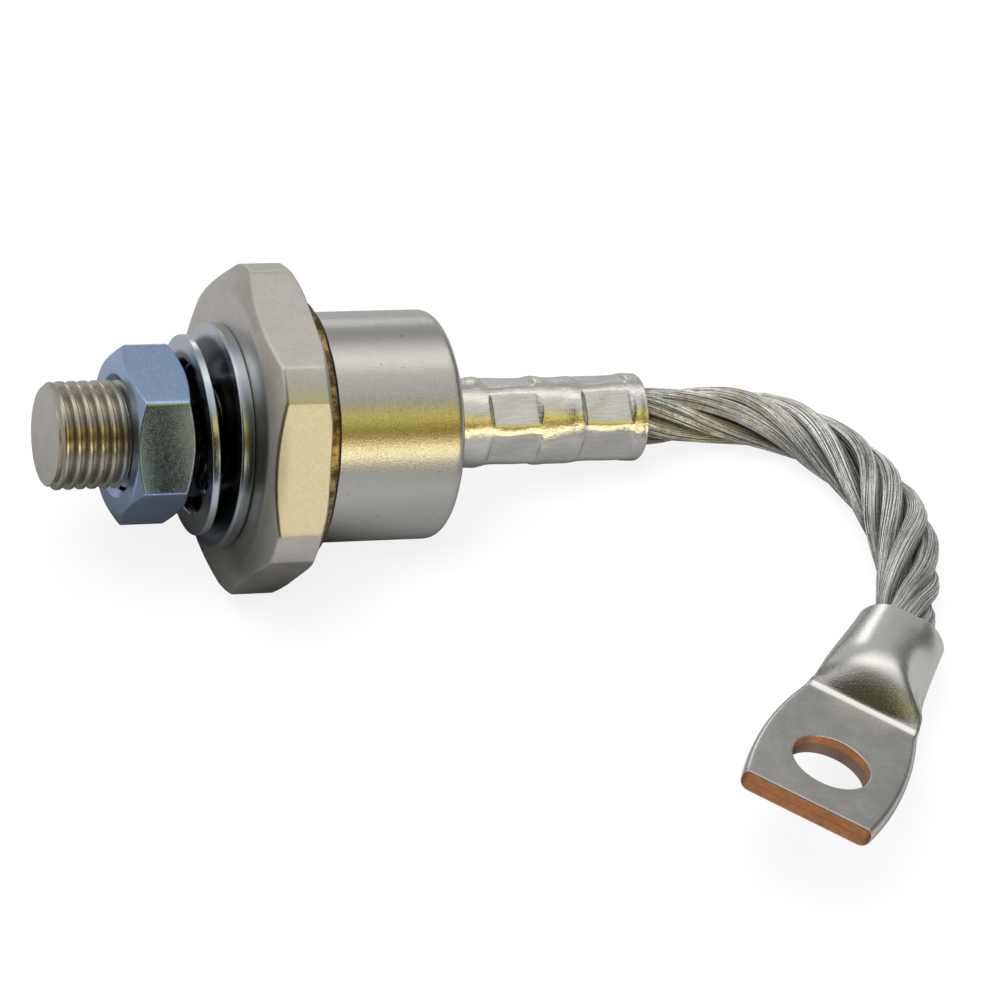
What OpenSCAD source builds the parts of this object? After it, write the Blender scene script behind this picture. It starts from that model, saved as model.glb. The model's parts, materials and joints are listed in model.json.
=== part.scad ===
// Stud mount rectifier diode with a flexible lead, laid on a table as it comes to rest.
// Every piece is drawn on the diode's own axis, X, with the seat face at X = 0:
// the threaded stud points to -X and the lead leaves to +X. The finished pieces are
// then tipped together about the seat centre, so that the diode lies on the rear edge
// of a hex flat and on the rim of its case.

/* [Stud and hex base] */
// Outside diameter of the 3/8-24 stud
stud_d = 9.525; // [7:0.005:12]
// Length of the stud from the seat face to its end
stud_l = 16.1; // [14:0.1:22]
// Bevel on the end of the stud
stud_bevel = 0.35; // [0.2:0.05:0.8]
// Pitch of the stud's thread, 24 to the inch
thread_pitch = 1.0583; // [0.8:0.0001:1.6]
// Depth of the stud's thread
thread_depth = 0.6; // [0.3:0.05:0.65]
// Width across the flats of the hex base
hex_af = 27; // [25:0.1:32]
// Turned diameter that trims the hex corners
hex_od = 29.5; // [28.5:0.1:36]
// Thickness of the hex base
hex_t = 5.55; // [5:0.05:8]
// Diameter of the flat seat face round the stud
seat_d = 25.1; // [21:0.1:26.5]
// Slope of the cone between the seat face and the hex corners
seat_slope = 27.5; // [10:0.5:40]
// Bevel on the rear corners of the hex, measured along the radius
rear_bevel = 0.9; // [0.3:0.05:1.2]
// Slope of the rear bevel
rear_slope = 30; // [15:1:45]
// Diameter of the pedestal that carries the junction
pedestal_d = 15.4; // [14.6:0.1:16]
// Height of the pedestal above the hex base
pedestal_h = 2.2; // [1.6:0.1:3]

/* [Weld ring and case] */
// Outside diameter of the weld ring
ring_outer_d = 23.8; // [22.5:0.1:25]
// Inside diameter of the weld ring
ring_inner_d = 16.6; // [16.2:0.1:17.6]
// Thickness of the weld ring
ring_t = 1.6; // [0.8:0.05:2]
// Outside diameter of the case
case_d = 20.4; // [19.5:0.1:22]
// Length of the case from the weld ring to its end
case_l = 12.1; // [11:0.1:15]
// Thickness of the case wall
case_wall = 1.3; // [0.8:0.1:1.8]
// Thickness of the end of the case
case_end_t = 2; // [1.4:0.1:2.6]
// Radius of the rounded rim of the case
case_rim = 1; // [0.4:0.1:1.3]

/* [Glass seal] */
// Outside diameter of the glass
glass_d = 13.4; // [11:0.1:15]
// How far the glass lies below the end of the case
glass_recess = 0.3; // [0.1:0.05:0.5]
// Depth of the hollow meniscus in each face of the glass
glass_hollow = 0.25; // [0.1:0.05:0.4]

/* [Terminal tube] */
// Outside diameter of the tube
tube_d = 7.9; // [7.6:0.1:9]
// Length of the tube past the end of the case
tube_l = 19.85; // [19:0.05:24]
// Length of the tube inside the case, below the glass
tube_inner_l = 1.6; // [0.6:0.1:2]
// Bevel on the ends of the tube
tube_bevel = 0.25; // [0.1:0.05:0.5]
// Width across opposite flats of a crimp
crimp_af = 7.3; // [7.1:0.05:7.55]
// Length of a crimp
crimp_l = 5.1; // [4:0.1:5.4]
// Distance from the end of the case to the inner crimp
crimp_inner = 4.6; // [3:0.1:5]
// Distance from the mouth of the tube to the outer crimp
crimp_outer = 1.3; // [1:0.1:2]
// Turn of the crimp flats about the axis
crimp_turn = 5; // [0:1:59]

/* [Junction] */
// Diameter of the lower molybdenum disc
lower_disc_d = 13.8; // [13.2:0.1:14.4]
// Thickness of the lower molybdenum disc
lower_disc_t = 1; // [0.6:0.1:1.3]
// Diameter of the silicon wafer
wafer_d = 12.4; // [11.4:0.1:12.8]
// Thickness of the silicon wafer
wafer_t = 0.35; // [0.2:0.05:0.5]
// Diameter of the upper molybdenum disc
upper_disc_d = 11; // [10:0.1:11.2]
// Thickness of the upper molybdenum disc
upper_disc_t = 1; // [0.6:0.1:1.3]
// Width of the coating round the edge of the wafer
coating_w = 0.5; // [0.2:0.05:0.6]
// Height of the coating
coating_h = 0.6; // [0.3:0.05:0.9]
// Diameter of the contact cup
cup_d = 8.6; // [8:0.1:9]
// Height of the contact cup
cup_h = 3.2; // [2.4:0.1:3.6]
// Thickness of the floor of the contact cup
cup_floor = 1.2; // [0.8:0.1:1.6]

/* [Flexible lead] */
// Diameter of the stranded lead
lead_d = 5.2; // [4.6:0.1:5.5]
// Length of the lead held inside the tube
lead_in_tube = 7.2; // [6:0.1:7.4]
// Length of the lead held inside the lug
lead_in_lug = 7; // [4:0.1:8]
// Length of the inner lead past the end of the case
inner_lead_l = 10.4; // [9.8:0.1:11]

/* [Terminal lug] */
// Width of the lug's pressed barrel at its mouth
barrel_w = 7; // [6.6:0.1:8.4]
// Height of the lug's pressed barrel
barrel_h = 5.4; // [4.8:0.1:6.2]
// Length of the barrel from its mouth to the root of the palm
barrel_l = 12.4; // [11:0.1:14]
// Wall of the barrel
barrel_wall = 0.9; // [0.6:0.05:1.1]
// Corner radius of the barrel
barrel_corner = 1.6; // [0.8:0.1:1.9]
// Length of the pressed slope from the barrel down to the palm
slope_l = 1.2; // [1:0.1:3]
// Greatest width of the palm
palm_w = 13.1; // [12.4:0.1:15]
// Thickness of the palm
palm_t = 1.8; // [1.4:0.05:2.2]
// Radius of the bowed sides of the palm
palm_bow = 40; // [30:1:60]
// Distance from the root of the palm to the hole centre
hole_to_root = 10.1; // [8:0.1:12]
// Distance from the hole centre to the cut end of the palm
hole_to_end = 6.9; // [6:0.1:10]
// Diameter of the hole in the palm
hole_d = 6.9; // [5.4:0.1:8]

/* [Nut and washers] */
// Width across the flats of the nut
nut_af = 14; // [13:0.05:16]
// Thickness of the nut
nut_t = 5.2; // [4.5:0.1:8]
// Turn of the nut about the axis
nut_turn = 55; // [0:1:59]
// Slope of the nut's corner bevels
nut_slope = 30; // [15:1:35]
// Depth of the countersink at each end of the nut's thread
nut_sink = 0.6; // [0.3:0.05:1]
// Outside diameter of the toothed lock washer
lock_d = 17.7; // [16.6:0.1:19]
// Width of the lock washer's ring
lock_ring_w = 2; // [1.6:0.1:2.2]
// Thickness of the lock washer
lock_t = 0.7; // [0.5:0.05:1]
// Number of teeth
lock_teeth = 10; // [8:1:11]
// Width of a tooth
tooth_w = 3; // [2:0.1:3.2]
// Twist of a tooth out of the plane of the washer
tooth_twist = 30; // [20:1:50]
// Lean of the lock washer, which hangs upright on the sloping stud
lock_lean = 4.4; // [0:0.1:6]
// Slack left between the nut and the lock washer
stack_slack = 0.15; // [0:0.05:0.8]
// Outside diameter of the flat washer
flat_d = 19.8; // [18:0.1:20.6]
// Thickness of the flat washer
flat_t = 1.25; // [0.8:0.05:2]
// Play of the washers' holes over the stud, on the diameter
washer_play = 1.15; // [0.4:0.05:1.4]

/* [Hidden] */

// Smoothness of the round surfaces
round_fn = 96;
arc_steps = 12;

// Clearances: a bonded joint, a crimped lead and a running thread
bond_gap = 0.02;
lead_gap = 0.05;
thread_gap = 0.05;
hang_gap = 0.04;
// Overlap of joined shapes and overrun of cuts
lap = 0.2;

// Places along the axis
cone_x = (hex_od - seat_d) / 2 * tan(seat_slope);
rear_x = hex_t - rear_bevel * tan(rear_slope);
ring_x = hex_t;
case_x = ring_x + ring_t;
case_end_x = case_x + case_l;
mouth_x = case_end_x + tube_l;
pedestal_x = hex_t + pedestal_h;
wafer_x = pedestal_x + lower_disc_t;
upper_disc_x = wafer_x + wafer_t;
cup_x = upper_disc_x + upper_disc_t;
glass_x = case_end_x - case_end_t;
tube_x = glass_x - tube_inner_l;
tooth_h = tooth_w * sin(tooth_twist) + lock_t * cos(tooth_twist);
lean_x = (lock_d / 2 - lock_ring_w) * sin(lock_lean);
lock_x = -flat_t - lean_x - tooth_h / 2;
nut_x = lock_x - lean_x - tooth_h / 2 - stack_slack - nut_t;
lock_drop = tooth_h / 2 * sin(lock_lean) + (stud_d + washer_play) / 2 * (1 - cos(lock_lean));

// Tip of the diode on the table: one line touches the rear edge of a hex flat and the
// rounded rim of the case
rim_drop = hex_af / 2 - (case_d / 2 - case_rim);
rim_reach = case_end_x - case_rim - hex_t;
rest_tilt = acos(case_rim / norm([rim_drop, rim_reach])) - atan2(rim_reach, rim_drop);

// The lead's route from the mouth of the tube to the mouth of the lug's barrel
tube_bore = lead_d + 2 * lead_gap;
lead_start = [mouth_x - lead_in_tube, 0, 0];
lead_route = [
    [44.6, -0.3, 0.5], [49.2, -1.6, 1.2], [53.4, -4.4, 1.9], [56.4, -8.4, 2.4], [58.1, -13.1, 2.7],
    [58.4, -18, 2.9], [57.3, -23.1, 3.1], [55.4, -27.8, 3.5]];
lug_mouth = [53.4, -31.9, 4.5];
lug_turn = [-1, -12, -129];
lead_sides = 12;
steps_per_span = 3;

// Width of the lug's palm at its root, and the dome that spans that width there
root_w = palm_w - 2 * (palm_bow - sqrt(pow(palm_bow, 2) - pow(hole_to_root, 2)));
slope_h = barrel_h - palm_t;
dome_half = root_w / 2 + lap;
dome_r = (pow(dome_half, 2) + pow(slope_h, 2)) / (2 * slope_h);

// Inside of the lug's barrel
bore_w = barrel_w - 2 * barrel_wall;
bore_h = barrel_h - 2 * barrel_wall;

// A point or direction of the lug turned into the diode's frame
function turned_x(p, a) = [p.x, p.y * cos(a) - p.z * sin(a), p.y * sin(a) + p.z * cos(a)];
function turned_y(p, a) = [p.x * cos(a) + p.z * sin(a), p.y, p.z * cos(a) - p.x * sin(a)];
function turned_z(p, a) = [p.x * cos(a) - p.y * sin(a), p.x * sin(a) + p.y * cos(a), p.z];
function lug_way(p) = turned_z(turned_y(turned_x(p, lug_turn.x), lug_turn.y), lug_turn.z);
function unit(v) = v / norm(v);

// A smooth curve through four neighbouring points, at t from 0 to 1 between the middle two
function curve_point(a, b, c, d, t) =
    0.5 * (2 * b + (c - a) * t + (2 * a - 5 * b + 4 * c - d) * pow(t, 2)
        + (3 * b - a - 3 * c + d) * pow(t, 3));

// Grooves of the thread, drawn as rings: radius and axial place of the four corners of each
crest_flat = thread_pitch / 8;
root_flat = thread_pitch / 4;
flank = (thread_pitch - crest_flat - root_flat) / 2;
grooves = floor((stud_l - stud_bevel) / thread_pitch - 1);
function groove(k) =
    let (x = -stud_l + stud_bevel + crest_flat + k * thread_pitch, r = stud_d / 2)
    [[r, x], [r - thread_depth, x + flank], [r - thread_depth, x + flank + root_flat],
        [r, x + 2 * flank + root_flat]];

// Points of an arc about a centre, from one angle to another
function arc(centre, r, from, to) =
    [for (i = [0 : arc_steps]) let (a = from + (to - from) * i / arc_steps)
        centre + r * [cos(a), sin(a)]];

// A profile of radius and axial place, turned about the diode's axis
module turned() {
    rotate([0, 90, 0])
        rotate_extrude($fn = round_fn)
            children();
}

// A round rod or disc along the axis
module rod(x, d, l) {
    translate([x, 0, 0])
        rotate([0, 90, 0])
            cylinder(d = d, h = l, $fn = round_fn);
}

// A flat ring along the axis
module collar(x, od, id, l) {
    difference() {
        rod(x, od, l);
        rod(x - lap, id, l + 2 * lap);
    }
}

// A hex bar along the axis with one flat facing down, before its turn
module hex_bar(x, af, l, turn = 0) {
    translate([x, 0, 0])
        rotate([turn, 0, 0])
            rotate([0, 90, 0])
                rotate([0, 0, 30])
                    cylinder(d = af / cos(30), h = l, $fn = 6);
}

// The diode tipped on to the table, and the washers hung on the stud
module laid() {
    rotate([0, rest_tilt, 0])
        children();
}

module hung() {
    translate([0, 0, hang_gap - washer_play / 2])
        children();
}

// Copper base: stud, hex and pedestal turned and milled from one bar
module stud_base() {
    color([0.72, 0.69, 0.63])
    union() {
        intersection() {
            hex_bar(0, hex_af, hex_t);
            turned()
                polygon([[0, 0], [seat_d / 2, 0], [hex_od / 2, cone_x],
                    [hex_od / 2, rear_x], [hex_od / 2 - rear_bevel, hex_t], [0, hex_t]]);
        }
        turned()
            polygon(concat(
                [[0, -stud_l], [stud_d / 2 - stud_bevel, -stud_l], [stud_d / 2, -stud_l + stud_bevel]],
                [for (k = [0 : grooves - 1], p = groove(k)) p],
                [[stud_d / 2, lap], [0, lap]]));
        rod(hex_t - lap, pedestal_d, pedestal_h + lap);
    }
}

// Steel ring brazed to the base, to which the case is welded
module weld_ring() {
    color([0.55, 0.48, 0.33])
    collar(ring_x, ring_outer_d, ring_inner_d, ring_t);
}

// Drawn steel can with a rounded rim and a window for the glass
module case_shell() {
    inner_r = case_d / 2 - case_wall;
    color([0.76, 0.74, 0.69])
    turned()
        polygon(concat(
            [[inner_r, case_x], [case_d / 2, case_x]],
            arc([case_d / 2 - case_rim, case_end_x - case_rim], case_rim, 0, 90),
            [[glass_d / 2 + bond_gap, case_end_x], [glass_d / 2 + bond_gap, glass_x], [inner_r, glass_x]]));
}

// Glass bead that insulates the tube from the case, with a hollow meniscus on each face
module glass_seal() {
    inner_r = tube_d / 2 + bond_gap;
    outer_r = glass_d / 2;
    mid_r = (inner_r + outer_r) / 2;
    top_x = case_end_x - glass_recess;
    color([0.35, 0.45, 0.42])
    turned()
        polygon([[inner_r, glass_x], [mid_r, glass_x + glass_hollow], [outer_r, glass_x],
            [outer_r, top_x], [mid_r, top_x - glass_hollow], [inner_r, top_x]]);
}

// One ring of crimp flats pressed into the tube
module crimp_cut(x) {
    flat_w = tube_d;
    for (k = [0 : 5])
        rotate([60 * k + crimp_turn, 0, 0])
            translate([x, crimp_af / 2, -flat_w / 2])
                cube([crimp_l, tube_d, flat_w]);
}

// Terminal tube: the inner crimp holds the inner lead and the outer crimp the flexible lead
module terminal_tube() {
    color([0.78, 0.76, 0.71])
    difference() {
        turned()
            polygon([[tube_bore / 2, tube_x], [tube_d / 2 - tube_bevel, tube_x],
                [tube_d / 2, tube_x + tube_bevel], [tube_d / 2, mouth_x - tube_bevel],
                [tube_d / 2 - tube_bevel, mouth_x], [tube_bore / 2, mouth_x]]);
        crimp_cut(case_end_x + crimp_inner);
        crimp_cut(mouth_x - crimp_outer - crimp_l);
    }
}

module lower_disc() {
    color([0.45, 0.46, 0.48])
    rod(pedestal_x, lower_disc_d, lower_disc_t);
}

module silicon_wafer() {
    color([0.22, 0.23, 0.27])
    rod(wafer_x, wafer_d, wafer_t);
}

// Silicone bead that protects the edge of the wafer
module junction_coating() {
    inner_d = wafer_d + 2 * bond_gap;
    color([0.85, 0.82, 0.78])
    collar(wafer_x, inner_d + 2 * coating_w, inner_d, coating_h);
}

module upper_disc() {
    color([0.45, 0.46, 0.48])
    rod(upper_disc_x, upper_disc_d, upper_disc_t);
}

// Copper cup that is soldered to the upper disc and takes the end of the inner lead
module contact_cup() {
    color([0.72, 0.45, 0.32])
    difference() {
        rod(cup_x, cup_d, cup_h);
        rod(cup_x + cup_floor, tube_bore, cup_h);
    }
}

// Stranded lead between the contact cup and the inner crimp
module inner_lead() {
    start_x = cup_x + cup_floor;
    color([0.72, 0.45, 0.32])
    rod(start_x, lead_d, case_end_x + inner_lead_l - start_x);
}

// Stranded lead swept along its route, pressed flat inside the lug's barrel
module flexible_lead() {
    stops = concat([lead_start, [mouth_x, 0, 0]], lead_route, [lug_mouth]);
    last = len(stops) - 1;
    lug_end = lug_mouth + lug_way([lead_in_lug, 0, 0]);
    knots = concat([lead_start - [lead_d, 0, 0]], stops, [lug_end]);
    spine = concat(
        [for (i = [0 : last - 1], s = [0 : steps_per_span - 1])
            curve_point(knots[i], knots[i + 1], knots[i + 2], knots[i + 3], s / steps_per_span)],
        [lug_mouth, lug_end]);
    rings = len(spine);
    round_half = [lead_d, lead_d] / 2;
    flat_half = [bore_w - 2 * lead_gap, bore_h - 2 * lead_gap] / 2;
    up = lug_way([0, 0, 1]);
    points = [for (i = [0 : rings - 1])
        let (
            ahead = i < rings - 2 ? spine[i + 1] - spine[max(i - 1, 0)] : lug_end - lug_mouth,
            side = unit(cross(up, ahead)),
            rise = unit(cross(ahead, side)),
            half = i < rings - 2 ? round_half : flat_half)
        for (k = [0 : lead_sides - 1])
            let (a = 360 * k / lead_sides)
            spine[i] + half.x * cos(a) * side + half.y * sin(a) * rise];
    walls = [for (i = [0 : rings - 2], k = [0 : lead_sides - 1])
        let (m = (k + 1) % lead_sides)
        [i * lead_sides + k, (i + 1) * lead_sides + k, (i + 1) * lead_sides + m, i * lead_sides + m]];
    first_cap = [for (k = [0 : lead_sides - 1]) k];
    last_cap = [for (k = [lead_sides - 1 : -1 : 0]) (rings - 1) * lead_sides + k];
    color([0.66, 0.65, 0.6])
    polyhedron(points, concat(walls, [first_cap, last_cap]));
}

// Outline of the barrel at its mouth, seen along it
module mouth_outline() {
    spread_w = barrel_w / 2 - barrel_corner;
    spread_h = barrel_h / 2 - barrel_corner;
    square([barrel_w, 2 * spread_h], center = true);
    square([2 * spread_w, barrel_h], center = true);
    for (side = [-1, 1], level = [-1, 1])
        translate([side * spread_w, level * spread_h])
            circle(r = barrel_corner, $fn = 32);
}

// Outline of the barrel where it meets the palm: a dome over the width of the palm
module root_outline() {
    intersection() {
        translate([0, barrel_h / 2 - dome_r])
            circle(r = dome_r, $fn = 64);
        translate([-root_w / 2, -barrel_h / 2])
            square([root_w, barrel_h]);
    }
}

// Side view of what the press leaves of the barrel: level, then down a slope to the palm
module pressed_profile() {
    palm_top = palm_t - barrel_h / 2;
    rotate([90, 0, 0])
        linear_extrude(2 * palm_w, center = true)
            polygon([[-lap, -barrel_h], [barrel_l + 2 * lap, -barrel_h], [barrel_l + 2 * lap, palm_top],
                [barrel_l, palm_top], [barrel_l - 2 * slope_l, palm_top + 2 * slope_h],
                [-lap, palm_top + 2 * slope_h]]);
}

// Inside of the pressed barrel, an oval with round ends
module bore_outline() {
    spread = (bore_w - bore_h) / 2;
    square([2 * spread, bore_h], center = true);
    for (side = [-1, 1])
        translate([side * spread, 0])
            circle(d = bore_h, $fn = round_fn);
}

// A length of the lug's section, along the lug from its mouth at X = 0
module lug_run(x, l) {
    translate([x, 0, 0])
        rotate([90, 0, 90])
            linear_extrude(l)
                children();
}

// Lug formed from one tube: a widening barrel, a pressed slope and a flat palm with a hole
module terminal_lug() {
    hole_x = barrel_l + hole_to_root;
    end_x = hole_x + hole_to_end;
    palm_z = -barrel_h / 2;
    slice = 0.01;
    color([0.74, 0.73, 0.7])
    translate(lug_mouth)
    rotate(lug_turn)
    difference() {
        union() {
            intersection() {
                hull() {
                    lug_run(0, slice)
                        mouth_outline();
                    lug_run(barrel_l + lap, slice)
                        root_outline();
                }
                pressed_profile();
            }
            translate([0, 0, palm_z])
                linear_extrude(palm_t)
                    intersection() {
                        translate([barrel_l - 2 * lap, -palm_w])
                            square([end_x - barrel_l + 2 * lap, 2 * palm_w]);
                        palm_side(hole_x, -1);
                        palm_side(hole_x, 1);
                    }
        }
        lug_run(-lap, lead_in_lug + lap)
            bore_outline();
        translate([hole_x, 0, palm_z - lap])
            cylinder(d = hole_d, h = palm_t + 2 * lap, $fn = round_fn);
    }
}

// A large disc whose edge is one bowed side of the palm
module palm_side(x, side) {
    translate([x, side * (palm_w / 2 - palm_bow)])
        circle(r = palm_bow, $fn = 3 * round_fn);
}

// Zinc plated jam nut with bevelled corners and countersunk ends
module hex_nut() {
    corner_r = nut_af / cos(30) / 2;
    bevel_x = (corner_r - nut_af / 2) * tan(nut_slope);
    bore = stud_d + 2 * thread_gap;
    color([0.66, 0.7, 0.8])
    difference() {
        intersection() {
            hex_bar(nut_x, nut_af, nut_t, nut_turn);
            turned()
                polygon([[0, nut_x], [nut_af / 2, nut_x], [corner_r, nut_x + bevel_x],
                    [corner_r, nut_x + nut_t - bevel_x], [nut_af / 2, nut_x + nut_t], [0, nut_x + nut_t]]);
        }
        rod(nut_x - lap, bore, nut_t + 2 * lap);
        for (face = [0, 1])
            translate([nut_x + face * nut_t, 0, 0])
                mirror([face, 0, 0])
                    turned()
                        polygon([[0, -lap], [bore / 2 + nut_sink + lap, -lap], [bore / 2, nut_sink],
                            [0, nut_sink]]);
    }
}

// Lock washer with a plain ring and twisted teeth round its hole
module lock_washer() {
    ring_r = lock_d / 2 - lock_ring_w;
    tip_r = (stud_d + washer_play) / 2;
    color([0.68, 0.72, 0.8])
    translate([lock_x, 0, hang_gap + lock_drop - washer_play / 2])
    rotate([0, -lock_lean, 0])
    union() {
        collar(-lock_t / 2, lock_d, 2 * ring_r, lock_t);
        difference() {
            for (k = [0 : lock_teeth - 1])
                rotate([360 * k / lock_teeth, 0, 0])
                    rotate([0, tooth_twist, 0])
                        translate([-lock_t / 2, 0, -tooth_w / 2])
                            tooth_blank(ring_r + lap);
            rod(-tooth_w, 2 * tip_r, 2 * tooth_w);
        }
    }
}

// Blank of one tooth, standing along Y from the axis
module tooth_blank(reach) {
    cube([lock_t, reach, tooth_w]);
}

module flat_washer() {
    color([0.68, 0.72, 0.78])
    hung()
    collar(-flat_t, flat_d, stud_d + washer_play, flat_t);
}

laid() stud_base();
laid() weld_ring();
laid() case_shell();
laid() glass_seal();
laid() terminal_tube();
laid() lower_disc();
laid() silicon_wafer();
laid() junction_coating();
laid() upper_disc();
laid() contact_cup();
laid() inner_lead();
laid() flexible_lead();
laid() terminal_lug();
laid() hex_nut();
laid() lock_washer();
laid() flat_washer();
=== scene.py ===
"""Stud mount diode: finished pieces, materials and a studio stage around the solid model.

Shapes are worked out in millimetres in the diode's own frame: X runs along its axis with the
seat face at X = 0, the stud towards -X and the lead towards +X. laid() tips them on to the
table and turns them into metres.
"""

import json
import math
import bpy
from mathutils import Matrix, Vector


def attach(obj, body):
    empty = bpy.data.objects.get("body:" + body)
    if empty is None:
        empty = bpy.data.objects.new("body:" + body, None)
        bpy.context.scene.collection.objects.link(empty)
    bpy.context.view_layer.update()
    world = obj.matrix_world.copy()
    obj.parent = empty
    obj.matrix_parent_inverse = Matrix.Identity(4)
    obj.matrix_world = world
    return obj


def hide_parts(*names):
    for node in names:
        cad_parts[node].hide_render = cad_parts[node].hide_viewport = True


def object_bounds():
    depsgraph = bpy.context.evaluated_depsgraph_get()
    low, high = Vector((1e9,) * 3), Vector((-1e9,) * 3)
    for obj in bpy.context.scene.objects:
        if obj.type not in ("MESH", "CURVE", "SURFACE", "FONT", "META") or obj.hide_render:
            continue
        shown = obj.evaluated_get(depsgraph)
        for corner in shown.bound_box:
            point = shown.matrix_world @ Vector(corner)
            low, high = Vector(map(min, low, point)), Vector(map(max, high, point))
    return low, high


bl_info = {
    "name": "Stud Mount Diode",
    "version": (1, 0, 0),
    "blender": (4, 5, 0),
    "location": "View3D > Sidebar > Diode",
    "description": "Builds the finished pieces of a stud mount diode around its solid model",
    "category": "Object",
}

from types import SimpleNamespace

import bpy
import numpy as np
from mathutils import Matrix

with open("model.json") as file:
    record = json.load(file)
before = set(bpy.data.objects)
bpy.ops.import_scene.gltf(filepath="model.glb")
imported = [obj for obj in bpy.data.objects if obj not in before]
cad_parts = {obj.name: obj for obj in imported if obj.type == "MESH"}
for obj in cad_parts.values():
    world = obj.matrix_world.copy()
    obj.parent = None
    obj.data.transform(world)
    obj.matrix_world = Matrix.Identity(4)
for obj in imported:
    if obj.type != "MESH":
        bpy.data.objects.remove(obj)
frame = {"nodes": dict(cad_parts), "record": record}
CAD_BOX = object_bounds()

MM = 0.001
TAU = 2.0 * math.pi
SEAT_AXIS = next(m for m in frame["record"]["mounts"] if m["name"] == "seat")["axis"]
TILT = math.atan2(SEAT_AXIS[2], -SEAT_AXIS[0])
FLOOR_Z = CAD_BOX[0].z / MM

# Camera on the table's frame: place and aim in millimetres, turns in degrees
CAMERA_AIM = (25.357, 0.0, -17.091)
CAMERA_DISTANCE = 512.3
CAMERA_AZIMUTH = -15.686
CAMERA_ELEVATION = 48.31
CAMERA_ROLL = -0.326
CAMERA_LENS = 203.04
CAMERA_SENSOR = 36.0
CAMERA_NEAR = 10.0

# Route of the lead from inside the tube to inside the lug, and the turn of the lug
LEAD_START = (31.9, 0.0, 0.0)
TUBE_MOUTH = (39.1, 0.0, 0.0)
LEAD_ROUTE = (
    (44.6, -0.3, 0.5), (49.2, -1.6, 1.2), (53.4, -4.4, 1.9), (56.4, -8.4, 2.4),
    (58.1, -13.1, 2.7), (58.4, -18.0, 2.9), (57.3, -23.1, 3.1), (55.4, -27.8, 3.5),
)
LUG_MOUTH = (53.4, -31.9, 4.5)
LUG_TURN = (-1.0, -12.0, -129.0)
LEAD_IN_LUG = 7.0

# Places along the lug from its mouth
LUG_CREASE = 12.4
LUG_HOLE = 22.5
LUG_END = 29.4

# How the loose pieces hang on the sloping stud
WASHER_MIDDLE = (0.0, 0.0, -0.535)
LOCK_MIDDLE = (-2.829, 0.0, -0.439)
LOCK_LEAN = math.radians(4.4)
NUT_END = -4.557
NUT_DROP = 0.2
NUT_TURN = math.radians(-5.0)

# The stud's thread: its depth in pitches, and how far its crests stay inside the stud's size
THREAD_DEPTH = 0.613
THREAD_PLAY = 0.03

# Stage: radii of the table and the tent, each lamp's name, place, width and power in watts, and
# the corners of a dark card
TABLE_R = 3000.0
TENT_R = 2600.0
LAMPS = (
    ("overhead", (-120.0, -160.0, 620.0), 420.0, 8.0),
    ("side_fill", (420.0, 260.0, 380.0), 360.0, 3.2),
)
CARD = ((-6.0, -20.5, 0.0), (1.6, -20.5, 0.0), (5.6, -17.5, 17.5), (-3.0, -17.5, 17.5))
WHITE = (1.0, 1.0, 1.0, 1.0)

# Strips of the light tent: angle round the diode's axis in degrees and colour
STRIPS = (
    (0.0, (0.42, 0.40, 0.36)), (7.0, (0.60, 0.54, 0.38)), (12.0, (1.48, 1.31, 0.80)),
    (19.0, (2.26, 2.08, 1.42)), (26.0, (1.36, 1.04, 0.34)), (31.0, (0.40, 0.26, 0.06)),
    (40.0, (0.20, 0.15, 0.04)), (46.0, (0.60, 0.48, 0.10)), (53.0, (1.02, 0.91, 0.21)),
    (60.0, (0.62, 0.56, 0.24)), (68.0, (0.50, 0.50, 0.44)), (77.0, (0.60, 0.61, 0.59)),
    (90.0, (0.64, 0.64, 0.63)), (101.0, (0.62, 0.62, 0.60)), (110.0, (1.20, 1.17, 1.12)),
    (119.0, (1.00, 0.97, 0.94)), (131.0, (0.74, 0.74, 0.73)), (142.0, (0.34, 0.34, 0.35)),
    (158.0, (0.38, 0.38, 0.38)), (180.0, (0.42, 0.42, 0.42)),
)


# Properties

def size(label, about, value):
    """A length property whose default is given in millimetres."""
    return bpy.props.FloatProperty(
        name=label, description=about, default=value * MM, min=0.0, precision=5, unit="LENGTH")


def tint(label, about, value):
    """A colour property."""
    return bpy.props.FloatVectorProperty(
        name=label, description=about, default=value, size=3, min=0.0, max=1.0, subtype="COLOR")


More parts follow.
